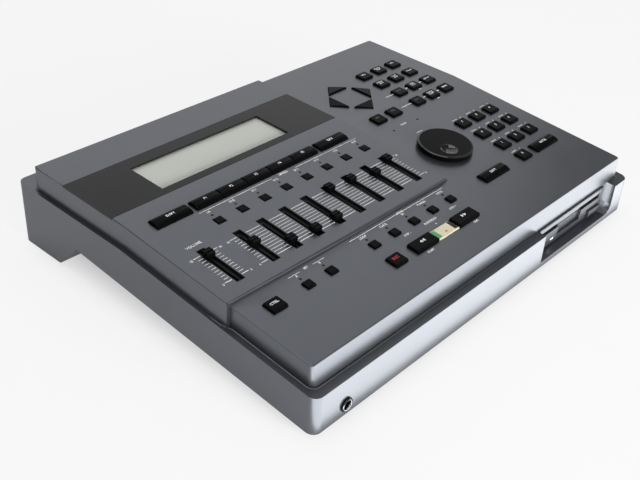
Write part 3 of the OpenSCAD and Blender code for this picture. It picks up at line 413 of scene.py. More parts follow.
def along(up):
    """Direction up the slope of a panel plane with that normal."""
    return up.cross(RIGHT)


DIAL_PIVOT = Vector(joint("data_dial_turn")["pos_m"])
BEND = DIAL_PIVOT - MM * (DIAL_PIVOT_UP * FRONT_UP + DIAL_S * along(FRONT_UP) + DIAL_X * RIGHT)


def frame_at(origin, x_axis, y_axis, z_axis):
    """Matrix from millimetres along three axes to metres in the row frame."""
    turn = Matrix((x_axis, y_axis, z_axis)).transposed().to_4x4()
    return Matrix.Translation(origin) @ turn @ Matrix.Scale(MM, 4)


def deck(x, s, up=0.0):
    """Matrix of a place on the panel: X to the right, Y up the slope, Z out of it."""
    normal = FRONT_UP if s <= 0 else REAR_UP
    base = frame_at(BEND, RIGHT, along(normal), normal)
    return base @ Matrix.Translation((x, s, up))


def on_deck(x, s, up=0.0):
    """Matrix of a place on the surface that the panel has there: the raised block or the plain panel."""
    block = x < RAISE_RIGHT and s > RAISE_S
    return deck(x, s, up + RAISE_UP if block else up)


def shifted(place, x=0.0, y=0.0, z=0.0):
    """A place moved along its own axes, in millimetres."""
    return place @ Matrix.Translation((x, y, z))


class WorkstationSizes(PropertyGroup):
    """Sizes of the visible finish."""

    case_round: FloatProperty(
        name="Case edge", description="Radius of the outer edges of both shells", default=0.0009, min=0.0002,
        max=0.003, unit="LENGTH")
    block_round: FloatProperty(
        name="Block edge", description="Radius of the raised block's front and right edges", default=0.0004,
        min=0.0001, max=0.0015, unit="LENGTH")
    hole_round: FloatProperty(
        name="Hole edge", description="Radius of the edges of the key holes", default=0.00012, min=0.00005,
        max=0.0005, unit="LENGTH")
    ink: FloatProperty(
        name="Ink", description="Thickness of printed marks", default=0.00008, min=0.00002, max=0.0003,
        unit="LENGTH")
    dimple: FloatProperty(
        name="Dimple", description="Depth of the dial's finger dimple", default=0.0018, min=0.0005, max=0.002,
        unit="LENGTH")


class WorkstationColours(PropertyGroup):
    """Colours of the visible finish."""

    slate: FloatVectorProperty(
        name="Case", description="Colour of the case", subtype="COLOR", size=3, min=0, max=1,
        default=(0.165, 0.174, 0.193))
    black: FloatVectorProperty(
        name="Keys", description="Colour of keys, caps and the dial", subtype="COLOR", size=3, min=0, max=1,
        default=(0.003, 0.003, 0.0035))
    cream: FloatVectorProperty(
        name="Pale key", description="Colour of the low transport key", subtype="COLOR", size=3, min=0, max=1,
        default=(0.74, 0.69, 0.5))
    screen: FloatVectorProperty(
        name="Display", description="Colour of the display", subtype="COLOR", size=3, min=0, max=1,
        default=(0.62, 0.645, 0.59))
    white_ink: FloatVectorProperty(
        name="White print", description="Colour of white marks", subtype="COLOR", size=3, min=0, max=1,
        default=(0.86, 0.87, 0.88))
    red_ink: FloatVectorProperty(
        name="Red print", description="Colour of red marks", subtype="COLOR", size=3, min=0, max=1,
        default=(0.45, 0.03, 0.03))
    floor: FloatVectorProperty(
        name="Floor", description="Colour of the studio floor", subtype="COLOR", size=3, min=0, max=1,
        default=(0.9, 0.9, 0.9))


def ink_height():
    """Thickness of printed marks in millimetres."""
    return bpy.context.scene.workstation_sizes.ink / MM


def shader_node(tree, kind, operation=None, values=None):
    """A new shader node with its operation, and with inputs set by their names or numbers."""
    node = tree.nodes.new("ShaderNode" + kind)
    if operation:
        node.operation = operation
    for key, value in (values or {}).items():
        node.inputs[key].default_value = value
    return node


def wire(tree, *links):
    """Join nodes; each link is a node and its output, then the next node and its input."""
    for source, output, target, entry in links:
        tree.links.new(source.outputs[output], target.inputs[entry])


def grain(tree, shader, scale, tone, bump, rough):
    """Give a finish a fine grain: tone and roughness drift slowly, and small bumps break the gloss."""
    colour = tuple(shader.inputs["Base Color"].default_value)[:3]
    where = shader_node(tree, "TexCoord")
    drift = shader_node(tree, "TexNoise", values=DRIFT)
    fine = shader_node(tree, "TexNoise", values={"Scale": scale, "Detail": FINE_DETAIL})
    ramp = shader_node(tree, "ValToRGB")
    for end, at, share in zip(ramp.color_ramp.elements, NOISE_SPAN, (1 - tone, 1 + tone)):
        end.position = at
        end.color = [min(c * share, 1) for c in colour] + [1]
    span = shader_node(tree, "MapRange", values={
        "From Min": NOISE_SPAN[0], "From Max": NOISE_SPAN[1], "To Min": rough[0], "To Max": rough[1]})
    relief = shader_node(tree, "Bump", values={"Strength": bump, "Distance": BUMP_DEPTH})
    wire(
        tree,
        (where, "Object", drift, "Vector"),
        (where, "Object", fine, "Vector"),
        (drift, "Fac", ramp, "Fac"),
        (ramp, "Color", shader, "Base Color"),
        (drift, "Fac", span, "Value"),
        (span, "Result", shader, "Roughness"),
        (fine, "Fac", relief, "Height"),
        (relief, "Normal", shader, "Normal"))


def finish(name):
    """The procedural finish of that name, made once."""
    found = bpy.data.materials.get(name)
    if found:
        return found
    colour, scale, tone, bump, rough, metal, gloss = FINISHES[name]
    if isinstance(colour, str):
        colour = getattr(bpy.context.scene.workstation_colours, colour)
    material = bpy.data.materials.new(name)
    material.use_nodes = True
    shader = material.node_tree.nodes["Principled BSDF"]
    shader.inputs["Base Color"].default_value = (*colour, 1)
    shader.inputs["Metallic"].default_value = metal
    shader.inputs["Specular IOR Level"].default_value = gloss
    grain(material.node_tree, shader, scale, tone, bump, rough)
    return material


def dress(node, name, edge):
    """Give a solid that keeps its own mesh a finish and soft edges."""
    obj = frame["nodes"][node]
    obj.data.materials.clear()
    obj.data.materials.append(finish(name))
    soften = obj.modifiers.new("soft_edges", "BEVEL")
    soften.width, soften.segments = edge
    soften.limit_method = "ANGLE"
    soften.angle_limit = SOFT_ANGLE


def circle(radius, z, steps):
    """A ring of points about Z."""
    turns = [math.tau * k / steps for k in range(steps)]
    return [(radius * math.cos(a), radius * math.sin(a), z) for a in turns]


def inset_ring(w, d, front, rear, side, r, z, steps=3):
    """A rounded rectangle, moved in from the edges of one of w by d."""
    x1 = w / 2 - side
    y0 = -d / 2 + front
    y1 = d / 2 - rear
    corners = ((x1 - r, y0 + r, -90), (x1 - r, y1 - r, 0), (-x1 + r, y1 - r, 90), (-x1 + r, y0 + r, 180))
    ring = []
    for cx, cy, start in corners:
        for k in range(steps + 1):
            a = math.radians(start + 90 * k / steps)
            ring.append((cx + r * math.cos(a), cy + r * math.sin(a), z))
    return ring


class Piece:
    """Faces gathered in metres, each with one of the named finishes, that become one object."""

    def __init__(self, *finishes):
        self.finishes = finishes
        self.points = []
        self.faces = []
        self.slots = []

    def add(self, points, faces, place, slot):
        """Faces over points given in the place's millimetres."""
        start = len(self.points)
        self.points += [place @ Vector(p) for p in points]
        self.faces += [[start + i for i in face] for face in faces]
        self.slots += [slot] * len(faces)

    def loft(self, rings, place, slot=0, close=True):
        """Skin over closed rings of equal length; both ends are capped, or the last ring joins the first."""
        n = len(rings[0])
        points = [p for ring in rings for p in ring]
        spans = [(k, k + 1) for k in range(len(rings) - 1)]
        if not close:
            spans.append((len(rings) - 1, 0))
        faces = []
        for a, b in spans:
            for i in range(n):
                j = (i + 1) % n
                faces.append((a * n + i, a * n + j, b * n + j, b * n + i))
        if close:
            faces.append(tuple(reversed(range(n))))
            faces.append(tuple(range((len(rings) - 1) * n, len(rings) * n)))
        self.add(points, faces, place, slot)

    def lathe(self, profile, place, slot=0, steps=48, close=True):
        """Rings of the profile's radii and heights about the place's Z."""
        self.loft([circle(radius, z, steps) for radius, z in profile], place, slot, close)

    def plate(self, outline, h, place, slot=0):
        """A flat shape of the given outline, standing on the place."""
        self.loft([[(x, y, z) for x, y in outline] for z in (0, h)], place, slot)

    def bar(self, w, d, h, place, slot=0):
        """A block on its middle in X and Y, standing on the place."""
        self.plate([(-w / 2, -d / 2), (w / 2, -d / 2), (w / 2, d / 2), (-w / 2, d / 2)], h, place, slot)

    def rim(self, w, d, inset, thick, r, heights, place):
        """A frame with a wall of the given thickness, moved in from the edges of one of w by d."""
        low, high = heights
        corners = ((inset, low), (inset, high), (inset + thick, high), (inset + thick, low))
        self.loft([inset_ring(w, d, i, i, i, r, z) for i, z in corners], place, close=False)

    def lettering(self, text, height, place, slot):
        """Raised ink in the shape of the text, capitals as tall as height."""
        curve = bpy.data.curves.new("lettering", "FONT")
        curve.body = text
        curve.size = height / CAPITALS
        curve.align_x = "CENTER"
        curve.align_y = "CENTER"
        curve.extrude = ink_height() / 2
        curve.offset = INK_SPREAD * height
        curve.resolution_u = LETTER_STEPS
        maker = bpy.data.objects.new("lettering", curve)
        bpy.context.scene.collection.objects.link(maker)
        bpy.context.view_layer.update()
        shape = maker.evaluated_get(bpy.context.evaluated_depsgraph_get()).to_mesh()
        joined = bmesh.new()
        joined.from_mesh(shape)
        bmesh.ops.remove_doubles(joined, verts=joined.verts, dist=LETTER_WELD)
        joined.verts.index_update()
        points = [tuple(v.co) for v in joined.verts]
        faces = [[v.index for v in f.verts] for f in joined.faces]
        joined.free()
        bpy.data.objects.remove(maker)
        bpy.data.curves.remove(curve)
        self.add(points, faces, place, slot)

    def build(self, name, body, slot, nodes=()):
        """Make the object, let it ride on its body and hide the solids that it stands for."""
        mesh = bpy.data.meshes.new(name)
        mesh.from_pydata(self.points, [], self.faces)
        for used in self.finishes:
            mesh.materials.append(finish(used))
        mesh.polygons.foreach_set("material_index", self.slots)
        mesh.polygons.foreach_set("use_smooth", [True] * len(self.faces))
        mesh.set_sharp_from_angle(angle=SHARP)
        obj = bpy.data.objects.new(name, mesh)
        bpy.context.scene.collection.objects.link(obj)
        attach(obj, body)
        if nodes:
            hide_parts(*nodes)


class WORKSTATION_OT_stage(Operator):
    """Set the camera, the soft lights and the pale floor"""

    bl_idname = "workstation.stage"
    bl_label = "Studio"

    def execute(self, context):
        scene = context.scene
        scene.view_settings.view_transform = "Standard"
        self.camera(scene)
        self.sky(scene)
        for light in LIGHTS:
            self.lamp(scene, *light)
        self.floor(scene)
        return {"FINISHED"}

    def camera(self, scene):
        """The camera, before the front left corner of the case and above it."""
        lens = bpy.data.cameras.new("camera")
        lens.sensor_width = SENSOR_WIDTH
        lens.lens = LENS
        camera = bpy.data.objects.new("camera", lens)
        turn = Matrix((CAMERA_RIGHT, -CAMERA_DOWN, -CAMERA_AHEAD)).transposed().to_4x4()
        camera.matrix_world = Matrix.Translation(CAMERA_AT) @ turn
        scene.collection.objects.link(camera)
        scene.camera = camera

    def sky(self, scene):
        """Dim even light, white where the camera looks, and a white sweep low on the right in reflections."""
        world = bpy.data.worlds.new("studio")
        world.use_nodes = True
        tree = world.node_tree
        even = tree.nodes["Background"]
        even.inputs["Color"].default_value = WHITE
        even.inputs["Strength"].default_value = EVEN_LIGHT
        plain = shader_node(tree, "Background", values={"Color": WHITE, "Strength": 1.0})
        where = shader_node(tree, "TexCoord")
        split = shader_node(tree, "SeparateXYZ")
        height = shader_node(tree, "MapRange", values={
            "From Min": SWEEP_HEIGHTS[0], "From Max": SWEEP_HEIGHTS[1], "To Min": 1.0, "To Max": 0.0})
        height.interpolation_type = "SMOOTHSTEP"
        side = shader_node(tree, "VectorMath", "DOT_PRODUCT", {1: SWEEP_SIDE})
        turned = shader_node(tree, "Math", "ADD", {1: SWEEP_SQUARE})
        turned.use_clamp = True
        sweep = shader_node(tree, "Math", "MULTIPLY")
        rays = shader_node(tree, "LightPath")
        low = shader_node(tree, "Math", "MULTIPLY")
        clear = shader_node(tree, "Math", "MAXIMUM")
        seen = shader_node(tree, "Math", "MAXIMUM")
        pick = shader_node(tree, "MixShader")
        wire(
            tree,
            (where, "Generated", split, "Vector"),
            (split, "Z", height, "Value"),
            (where, "Generated", side, 0),
            (side, "Value", turned, 0),
            (height, "Result", sweep, 0),
            (turned, "Value", sweep, 1),
            (sweep, "Value", low, 0),
            (rays, "Is Glossy Ray", low, 1),
            (rays, "Is Camera Ray", clear, 0),
            (rays, "Is Transmission Ray", clear, 1),
            (clear, "Value", seen, 0),
            (low, "Value", seen, 1),
            (seen, "Value", pick, "Fac"),
            (even, "Background", pick, 1),
            (plain, "Background", pick, 2),
            (pick, "Shader", tree.nodes["World Output"], "Surface"))
        scene.world = world

    def lamp(self, scene, name, place, size, power, target, mirrored):
        """A rectangular soft light that faces its target."""
        light = bpy.data.lights.new(name, "AREA")
        light.shape = "RECTANGLE"
        light.size, light.size_y = size
        light.energy = power
        obj = bpy.data.objects.new(name, light)
        obj.location = place
        aim = Vector(target) - Vector(place)
        obj.rotation_euler = aim.to_track_quat("-Z", "Y").to_euler()
        obj.visible_camera = False
        obj.visible_glossy = mirrored
        scene.collection.objects.link(obj)

    def floor(self, scene):
        """A wide pale floor that takes the shadow."""
        half = FLOOR_HALF
        mesh = bpy.data.meshes.new("floor")
        corners = [(-half, -half, 0), (half, -half, 0), (half, half, 0), (-half, half, 0)]
        mesh.from_pydata(corners, [], [(0, 1, 2, 3)])
        paper = finish("floor_paper")
        self.whiten(paper.node_tree)
        mesh.materials.append(paper)
        obj = bpy.data.objects.new("floor", mesh)
        scene.collection.objects.link(obj)

    def whiten(self, tree):
        """Let the floor look nearly white to the camera, less so in mirrors, and keep the case's shadow."""
        rays = shader_node(tree, "LightPath")
        direct = shader_node(tree, "Math", "MULTIPLY")
        where = shader_node(tree, "TexCoord")
        quarter = shader_node(tree, "VectorMath", "ABSOLUTE")
        beyond = shader_node(tree, "VectorMath", "SUBTRACT", {1: SHADE_CORE})
        outside = shader_node(tree, "VectorMath", "MAXIMUM", {1: (0, 0, 0)})
        away = shader_node(tree, "VectorMath", "LENGTH")
        shade = shader_node(tree, "MapRange", values={
            "From Max": SHADE_FADE, "To Min": WHITE_UNDER, "To Max": WHITE_FAR})
        shade.interpolation_type = "SMOOTHSTEP"
        mirrored = shader_node(tree, "Math", "MAXIMUM")
        dimmed = shader_node(tree, "Math", "MULTIPLY", {1: WHITE_MIRRORED})
        share = shader_node(tree, "Math", "MAXIMUM")
        white = shader_node(tree, "Emission", values={"Color": WHITE, "Strength": 1.0})
        mix = shader_node(tree, "MixShader")
        wire(
            tree,
            (where, "Object", quarter, 0),
            (quarter, "Vector", beyond, 0),
            (beyond, "Vector", outside, 0),
            (outside, "Vector", away, 0),
            (away, "Value", shade, "Value"),
            (rays, "Is Camera Ray", direct, 0),
            (shade, "Result", direct, 1),
            (rays, "Is Glossy Ray", mirrored, 0),
            (rays, "Is Transmission Ray", mirrored, 1),
            (mirrored, "Value", dimmed, 0),
            (direct, "Value", share, 0),
            (dimmed, "Value", share, 1),
            (share, "Value", mix, "Fac"),
            (tree.nodes["Principled BSDF"], "BSDF", mix, 1),
            (white, "Emission", mix, 2),
            (mix, "Shader", tree.nodes["Material Output"], "Surface"))


class WORKSTATION_OT_plain(Operator):
    """Give the sockets, feet, screws and the pieces inside their finishes and soft edges"""

    bl_idname = "workstation.plain"
    bl_label = "Sockets, feet and insides"

    def execute(self, context):
        for node, name in PLAIN_SOLIDS.items():
            dress(node, name, PLAIN_EDGE)
        return {"FINISHED"}


def shell_copy(node, name, steps, lift=0.0):
    """A copy of a solid's mesh, its upward faces lifted, with chosen edges rounded.

    Each step is a test, a radius and a segment count.
    """
    source = frame["nodes"][node]
    work = bmesh.new()
    work.from_mesh(source.data)
    bmesh.ops.remove_doubles(work, verts=work.verts, dist=WELD)
    bmesh.ops.dissolve_limit(work, angle_limit=FLATTEN, verts=work.verts, edges=work.edges)
    for vert in {v for f in work.faces if f.normal.z > LID_UP for v in f.verts}:
        vert.co.z += lift
    for test, radius, segments in steps:
        chosen = [e for e in work.edges if len(e.link_faces) == 2 and e.is_convex and test(e)]
        bmesh.ops.bevel(work, geom=chosen, offset=radius, segments=segments, profile=0.5, affect="EDGES",
                        clamp_overlap=True)
    mesh = bpy.data.meshes.new(name)
    work.to_mesh(mesh)
    work.free()
    mesh.materials.append(finish("slate_paint"))
    mesh.polygons.foreach_set("use_smooth", [True] * len(mesh.polygons))
    mesh.polygons.foreach_set("material_index", [0] * len(mesh.polygons))
    mesh.set_sharp_from_angle(angle=SHARP)
    obj = bpy.data.objects.new(name, mesh)
    bpy.context.scene.collection.objects.link(obj)
    level = obj.modifiers.new("level_normals", "WEIGHTED_NORMAL")
    level.keep_sharp = True
    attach(obj, "root")
    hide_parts(node)
    return obj


def fold(edge):
    """Angle between an edge's two faces."""
    a, b = edge.link_faces
    return a.normal.angle(b.normal, 0.0)


def ups(edge):
    """How far the normals of an edge's two faces point up, the lower one first."""
    return sorted(f.normal.z for f in edge.link_faces)


def middle(edge):
    """Middle of an edge."""
    return (edge.verts[0].co + edge.verts[1].co) / 2


def near_outside(point, box, side, end):
    """Whether a point is within side of a box's left or right face, or within end of its front or rear."""
    low, high = box
    return min(point.x - low.x, high.x - point.x) < side or min(point.y - low.y, high.y - point.y) < end


class WORKSTATION_OT_shells(Operator):
    """Round the edges of the two shells and the legs, and add the bead at the foot of the panel's wall"""

    bl_idname = "workstation.shells"
    bl_label = "Case shells"

    def execute(self, context):
        size = context.scene.workstation_sizes
        top_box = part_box("top_case")

        def perimeter(edge):
            """Test for the upper edge of the panel's outer walls."""
            wall, lid = ups(edge)
            outside = near_outside(middle(edge), top_box, TOP_SIDE_ZONE, TOP_END_ZONE)
            return outside and fold(edge) > RIM_FOLD and lid > RIM_UP and wall < RIM_WALL_UP

        def block(edge):
            """Test for the edges between a flat top and a slope, and for long square edges across."""
            slope, lid = ups(edge)
            wide = abs(edge.verts[0].co.x - edge.verts[1].co.x) > BLOCK_WIDE
            sloping = SLOPE_FOLD < fold(edge) < SQUARE_FOLD and SLOPE_UPS[0] < slope < SLOPE_UPS[1]
            return lid > FLAT_UP and (sloping or wide and fold(edge) > SQUARE_FOLD)

        def hole(edge):
            """Test for the upper edges of the key holes."""
            wall, lid = ups(edge)
            return fold(edge) > SQUARE_FOLD and lid > FLAT_UP and wall < HOLE_WALL_UP

        def below(edge):
            """Test for the legs' edges below their lids."""
            return fold(edge) > TRAY_FOLD and ups(edge)[1] < LID_UP

        top = shell_copy("top_case", "top_shell", (
            (perimeter, size.case_round, 4), (block, size.block_round, 3), (hole, size.hole_round, 2)))
        lower = shell_copy("lower_case", "lower_shell", ((self.tray_edges(), size.case_round, 4),))
        # The legs reach up over the round lower edge of the tray, so that no groove is left between them
        lift = LEG_LIFT * size.case_round
        legs = shell_copy("rear_legs", "leg_shells", ((below, size.case_round, 3),), lift)
        self.bead()
        return {"FINISHED"}

    def tray_edges(self):
        """Test for the tray's outside edges: on its walls, not in the bay, the bosses or the holes."""
        low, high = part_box("lower_case")

        def test(edge):
            """Whether an edge is one of them."""
            m = middle(edge)
            length = edge.calc_length()
            on_wall = near_outside(m, (low, high), TRAY_ZONE, TRAY_ZONE)
            long_edge = length > TRAY_LONG or min(m.x - low.x, high.x - m.x) < TRAY_SIDE
            upright = abs(edge.verts[0].co.z - edge.verts[1].co.z) > UPRIGHT * length
            return fold(edge) > TRAY_FOLD and on_wall and long_edge and not upright

        return test

    def bead(self):
        """A half-round bead on the shelf, beside the foot of the panel's wall, open at the drive bay."""
        path = [
            (BEAD_ENDS[0], -BEAD_FRONT),
            *self.turn(-BEAD_SIDE, -BEAD_FRONT, 180, 270),
            (-BEAD_SIDE, BEAD_JOG[0]),
            (-BEAD_BLOCK, BEAD_JOG[1]),
            *self.turn(-BEAD_BLOCK, BEAD_REAR, 90, 180),
            *self.turn(BEAD_SIDE, BEAD_REAR, 0, 90),
            *self.turn(BEAD_SIDE, -BEAD_FRONT, -90, 0),
            (BEAD_ENDS[1], -BEAD_FRONT)]
        last = len(path) - 1
        rings = []
        for k, (x, y) in enumerate(path):
            ahead = (Vector(path[min(k + 1, last)]) - Vector(path[max(k - 1, 0)])).normalized()
            scale = BEAD_END_SCALE if k in (0, last) else 1.0
            z = self.shelf(y)
            rings.append([(x - ahead.y * u, y + ahead.x * u, z + w * scale) for u, w in BEAD_SECTION])
        piece = Piece("slate_paint")
        piece.loft(rings, Matrix.Scale(MM, 4))
        piece.build("shelf_bead", "root", "case")

    def turn(self, x, y, start, end):
        """Points of a round corner whose sides are at x and y, passed clockwise seen from above."""
        cx = x - math.copysign(BEAD_ROUND, x)
        cy = y - math.copysign(BEAD_ROUND, y)
        angles = [math.radians(end + (start - end) * k / BEAD_ARC) for k in range(BEAD_ARC + 1)]
        return [(cx + BEAD_ROUND * math.cos(a), cy + BEAD_ROUND * math.sin(a)) for a in angles]

    def shelf(self, y):
        """Height of the tray's rim in millimetres: one slope up to the bend and a gentler one behind it."""
        knee = BEND.y / MM
        low = SHELF_FRONT + (min(y, knee) + CASE_FRONT) * math.tan(math.radians(SHELF_TILTS[0]))
        return low + max(y - knee, 0.0) * math.tan(math.radians(SHELF_TILTS[1]))


def key_cap(piece, size, place, profile=FLAT_PROFILE):
    """A key with straight sides under a rounded rim."""
    w, d, h = size
    rings = [inset_ring(w, d, 0, 0, 0, KEY_CORNER, -KEY_SKIRT)]
    for z, front, rear, side in profile:
        rings.append(inset_ring(w, d, front, rear, side, KEY_CORNER, h + z))
    piece.loft(rings, place)


def key_row(name, size, places, words=(), height=2.3, ink="white_ink", shift=1.2, profile=FLAT_PROFILE):
    """Keys on one body, each with its word printed on its top; a word with ~ before it is printed dimly."""
    finishes = ("key_plastic", "white_ink", "red_ink", "dim_ink")
    piece = Piece(*finishes)
    for place in places:
        key_cap(piece, size, place, profile)
    top = size[2] + profile[-1][0] + INK_OVER_KEY
    for place, word in zip(places, words):
        slot = finishes.index("dim_ink" if word.startswith("~") else ink)
        lines = word.strip("~").split("\n")
        for k, line in enumerate(lines):
            y = shift + ((len(lines) - 1) / 2 - k) * height * LINE_SPACING
            piece.lettering(line, height, shifted(place, 0, y, top), slot)
    piece.build(name.replace("_key", "_cap"), name, "key", (name,))


class WORKSTATION_OT_keys(Operator):
    """Make every key with its printed word"""

    bl_idname = "workstation.keys"
    bl_label = "Keys"

    def execute(self, context):
        barrels = [
            (f"f{k}_key", STRIP, STRIP_X + (k - 3) * STRIP_PITCH, FUNCTION_S, f"F{k}") for k in range(1, 6)]
        barrels += [
            ("left_shift_key", LONG, SHIFT_X, FUNCTION_S, "SHIFT"),
            ("exit_key", LONG, EXIT_X, FUNCTION_S, "EXIT"),
            ("right_shift_key", LONG, RIGHT_SHIFT_X, LAST_S, "SHIFT"),
            ("enter_key", LONG, ENTER_X, LAST_S, "ENTER")]
        for name, size, x, s, word in barrels:
            key_row(name, size, [on_deck(x, s)], [word], shift=0.8, profile=BARREL_PROFILE)
        key_row("ctrl_key", SQUARE, [on_deck(CTRL_X, CTRL_S)], ["CTRL"], height=2.2)
        key_row("rec_key", SQUARE, [on_deck(REC_X, TRANSPORT_S)], ["REC"], height=2.6, ink="red_ink")
        key_row("zero_key", SQUARE, [on_deck(NUMBER_X, LAST_S)], ["0"], height=2.5)
        for row in range(3):
            places = [on_deck(NUMBER_X + i * KEY_PITCH, NUMBER_S - row * KEY_PITCH) for i in range(3)]
            figures = [str(7 - 3 * row + i) for i in range(3)]
            key_row(f"number_keys_{row + 1}", SQUARE, places, figures, height=2.5)
        self.modes()
        key_row("part_keys", PART, [on_deck(x, PART_S) for x in COLUMNS])
        key_row("small_keys_left", SMALL, [on_deck(x, SMALL_S) for x in SMALL_XS[:SMALL_LEFT]])
        key_row("small_keys_right", SMALL, [on_deck(x, SMALL_S) for x in SMALL_XS[SMALL_LEFT:]])
        self.transport()
        for k, name in enumerate(("cursor_up", "cursor_left", "cursor_down", "cursor_right")):
            self.cursor(name, k * math.pi / 2)
        return {"FINISHED"}

    def modes(self):
        """Four rows of mode keys; two more keys belong to the last row."""
        words = (
            ("SEQ", "SONG\nEDIT", "MIX"),
            ("EVENT\nEDIT", "PART\nEDIT", "WAVE"),
            ("~LOAD", "DISK\nUTIL", "SETUP"),
            ("~SAVE", "QUICK\nCOPY", "DEMO", "~INC", "~DEC"))
        for row, labels in enumerate(words):
            s = MODE_S - row * KEY_PITCH
            xs = [MODE_X + i * KEY_PITCH for i in range(3)]
            xs += [PAIR_X + i * KEY_PITCH for i in range(len(labels) - 3)]
            key_row(f"mode_keys_{row + 1}", SQUARE, [on_deck(x, s) for x in xs], labels, height=1.9)

    def transport(self):
        """Stop and forward keys with their arrows, and the low pale key between them with a painted shadow on its
        right end.
        """
        ink = ink_height()
        top = FLAT_PROFILE[-1][0] - MARK_SINK
        for name, way in (("stop", -1), ("forward", 1)):
            piece = Piece("key_plastic", "white_ink")
            place = on_deck(TRANSPORT_X + way * STRIP_PITCH, TRANSPORT_S)
            key_cap(piece, STRIP, place)
            for x in (-ARROW_APART, ARROW_APART):
                back = x - way * ARROW_HALF
                corners = list(zip((back, x + way * ARROW_HALF, back), ARROW_YS))
                piece.plate(corners[::way], ink, shifted(place, 0, 0, STRIP[2] + top), 1)
            piece.build(name + "_cap", name + "_key", "key", (name + "_key",))
        low = Piece("pale_key", "green_mark", "amber_mark", "pale_key_shadow")
        place = on_deck(TRANSPORT_X, TRANSPORT_S)
        key_cap(low, LOW, place)
        # A green mark, an amber mark, then a painted shadow on the right end
        for slot, (w, d, x, y, thick) in enumerate(PALE_MARKS_AND_SHADOW, 1):
            low.bar(w, d, ink + thick, shifted(place, x, y, LOW[2] + top), slot)
        low.build("play_cap", "play_key", "key", ("play_key",))

    def cursor(self, name, angle):
        """A three-sided key of the cursor diamond, its top falling towards its tip."""
        piece = Piece("key_plastic")
        place = deck(CURSOR_X, CURSOR_S) @ Matrix.Rotation(angle, 4, "Z")
        rings = []
        for inset, z, fall in CURSOR_RINGS:
            half = CURSOR_HALF - inset * (1 + math.sqrt(2))
            base = CURSOR_BASE + inset
            tip = CURSOR_TIP - inset * math.sqrt(2)
            rings.append([(-half, base, z + fall), (half, base, z + fall), (0, tip, z - fall)])
        piece.loft(rings, place)
        piece.build(name + "_cap", name, "key", (name,))


class WORKSTATION_OT_faders(Operator):
    """Make the fader caps with their levers, and the black liners that paint the shade in their slots"""

    bl_idname = "workstation.faders"
    bl_label = "Faders"

    def execute(self, context):
        names = ["volume_fader"] + [f"part_fader_{i}" for i in range(1, 9)]
        profile = [(-y, z) for y, z in reversed(CAP_SIDE)] + list(CAP_SIDE)
        for name, x, rest in zip(names, FADER_XS, FADER_REST):
            place = deck(x, FADER_S + rest, RAISE_UP)
            piece = Piece("key_plastic")
            rings = []
            for side, inset in CAP_RINGS:
                rings.append([
                    (side * CAP_HALF, y * (1 - inset / CAP_END), z - inset if z > CAP_FOOT else z)
                    for y, z in profile])
            piece.loft(rings, place)
            piece.bar(*LEVER, shifted(place, 0, 0, LEVER_FOOT))
            piece.build(name.replace("_fader", "_slider"), name, "cap", (name,))
        self.liners()
        return {"FINISHED"}

    def liners(self):
        """Thin black frames inside the slots, painted shade on the slot walls."""
        piece = Piece("slot_shade_black")
        for x in FADER_XS:
            piece.rim(*LINER, 0.0, LINER_WALL, LINER_CORNER, LINER_HEIGHTS, deck(x, FADER_S, RAISE_UP))
        piece.build("slot_shade_liners", "root", "case")


class WORKSTATION_OT_dial(Operator):
    """Make the data dial with its finger dimple"""

    bl_idname = "workstation.dial"
    bl_label = "Data dial"

    def execute(self, context):
        piece = Piece("dial_plastic", "dial_polish")
        cx = DIMPLE_OUT * math.cos(DIMPLE_TURN)
        cy = DIMPLE_OUT * math.sin(DIMPLE_TURN)
        depth = context.scene.workstation_sizes.dimple / MM

        def top(x, y):
            """Height of the dial's top, with a round dimple and a faint lip around it."""
            reach = math.hypot(x - cx, y - cy) / DIMPLE_RADIUS
            lip = LIP_UP * math.exp(-((reach - LIP_AT) / LIP_WIDTH) ** 2)
            bowl = depth * max(0.0, 1 - reach * reach) ** DIMPLE_POWER
            return DIAL_TOP + lip - bowl

        rings = [circle(radius, z, DIAL_STEPS) for radius, z in DIAL_SHAFT]
        rings += [circle(DIAL_RADIUS - inset, z, DIAL_STEPS) for inset, z in DIAL_SIDE]
        flat = len(rings)
        for step in range(TOP_RINGS):
            radius = DIAL_RADIUS - TOP_START - step * TOP_STEP
            rings.append([(x, y, top(x, y)) for x, y, _ in circle(radius, 0, DIAL_STEPS)])
        piece.loft(rings, deck(DIAL_X, DIAL_S))
        # The upper edge and the dimple are polished
        for k, ring in enumerate(rings[:-1]):
            for i, (x, y, _) in enumerate(ring):
                edge = flat - POLISHED_RINGS <= k < flat
                if edge or k >= flat and math.hypot(x - cx, y - cy) < POLISHED_RADIUS:
                    piece.slots[k * DIAL_STEPS + i] = 1
        piece.build("dial_knob", "data_dial", "dial", ("data_dial",))
        return {"FINISHED"}


class WORKSTATION_OT_display(Operator):
    """Finish the glossy window around the display"""

    bl_idname = "workstation.display"
    bl_label = "Display window"

    def execute(self, context):
        dress("display_window", "window_gloss", WINDOW_EDGE)
        return {"FINISHED"}


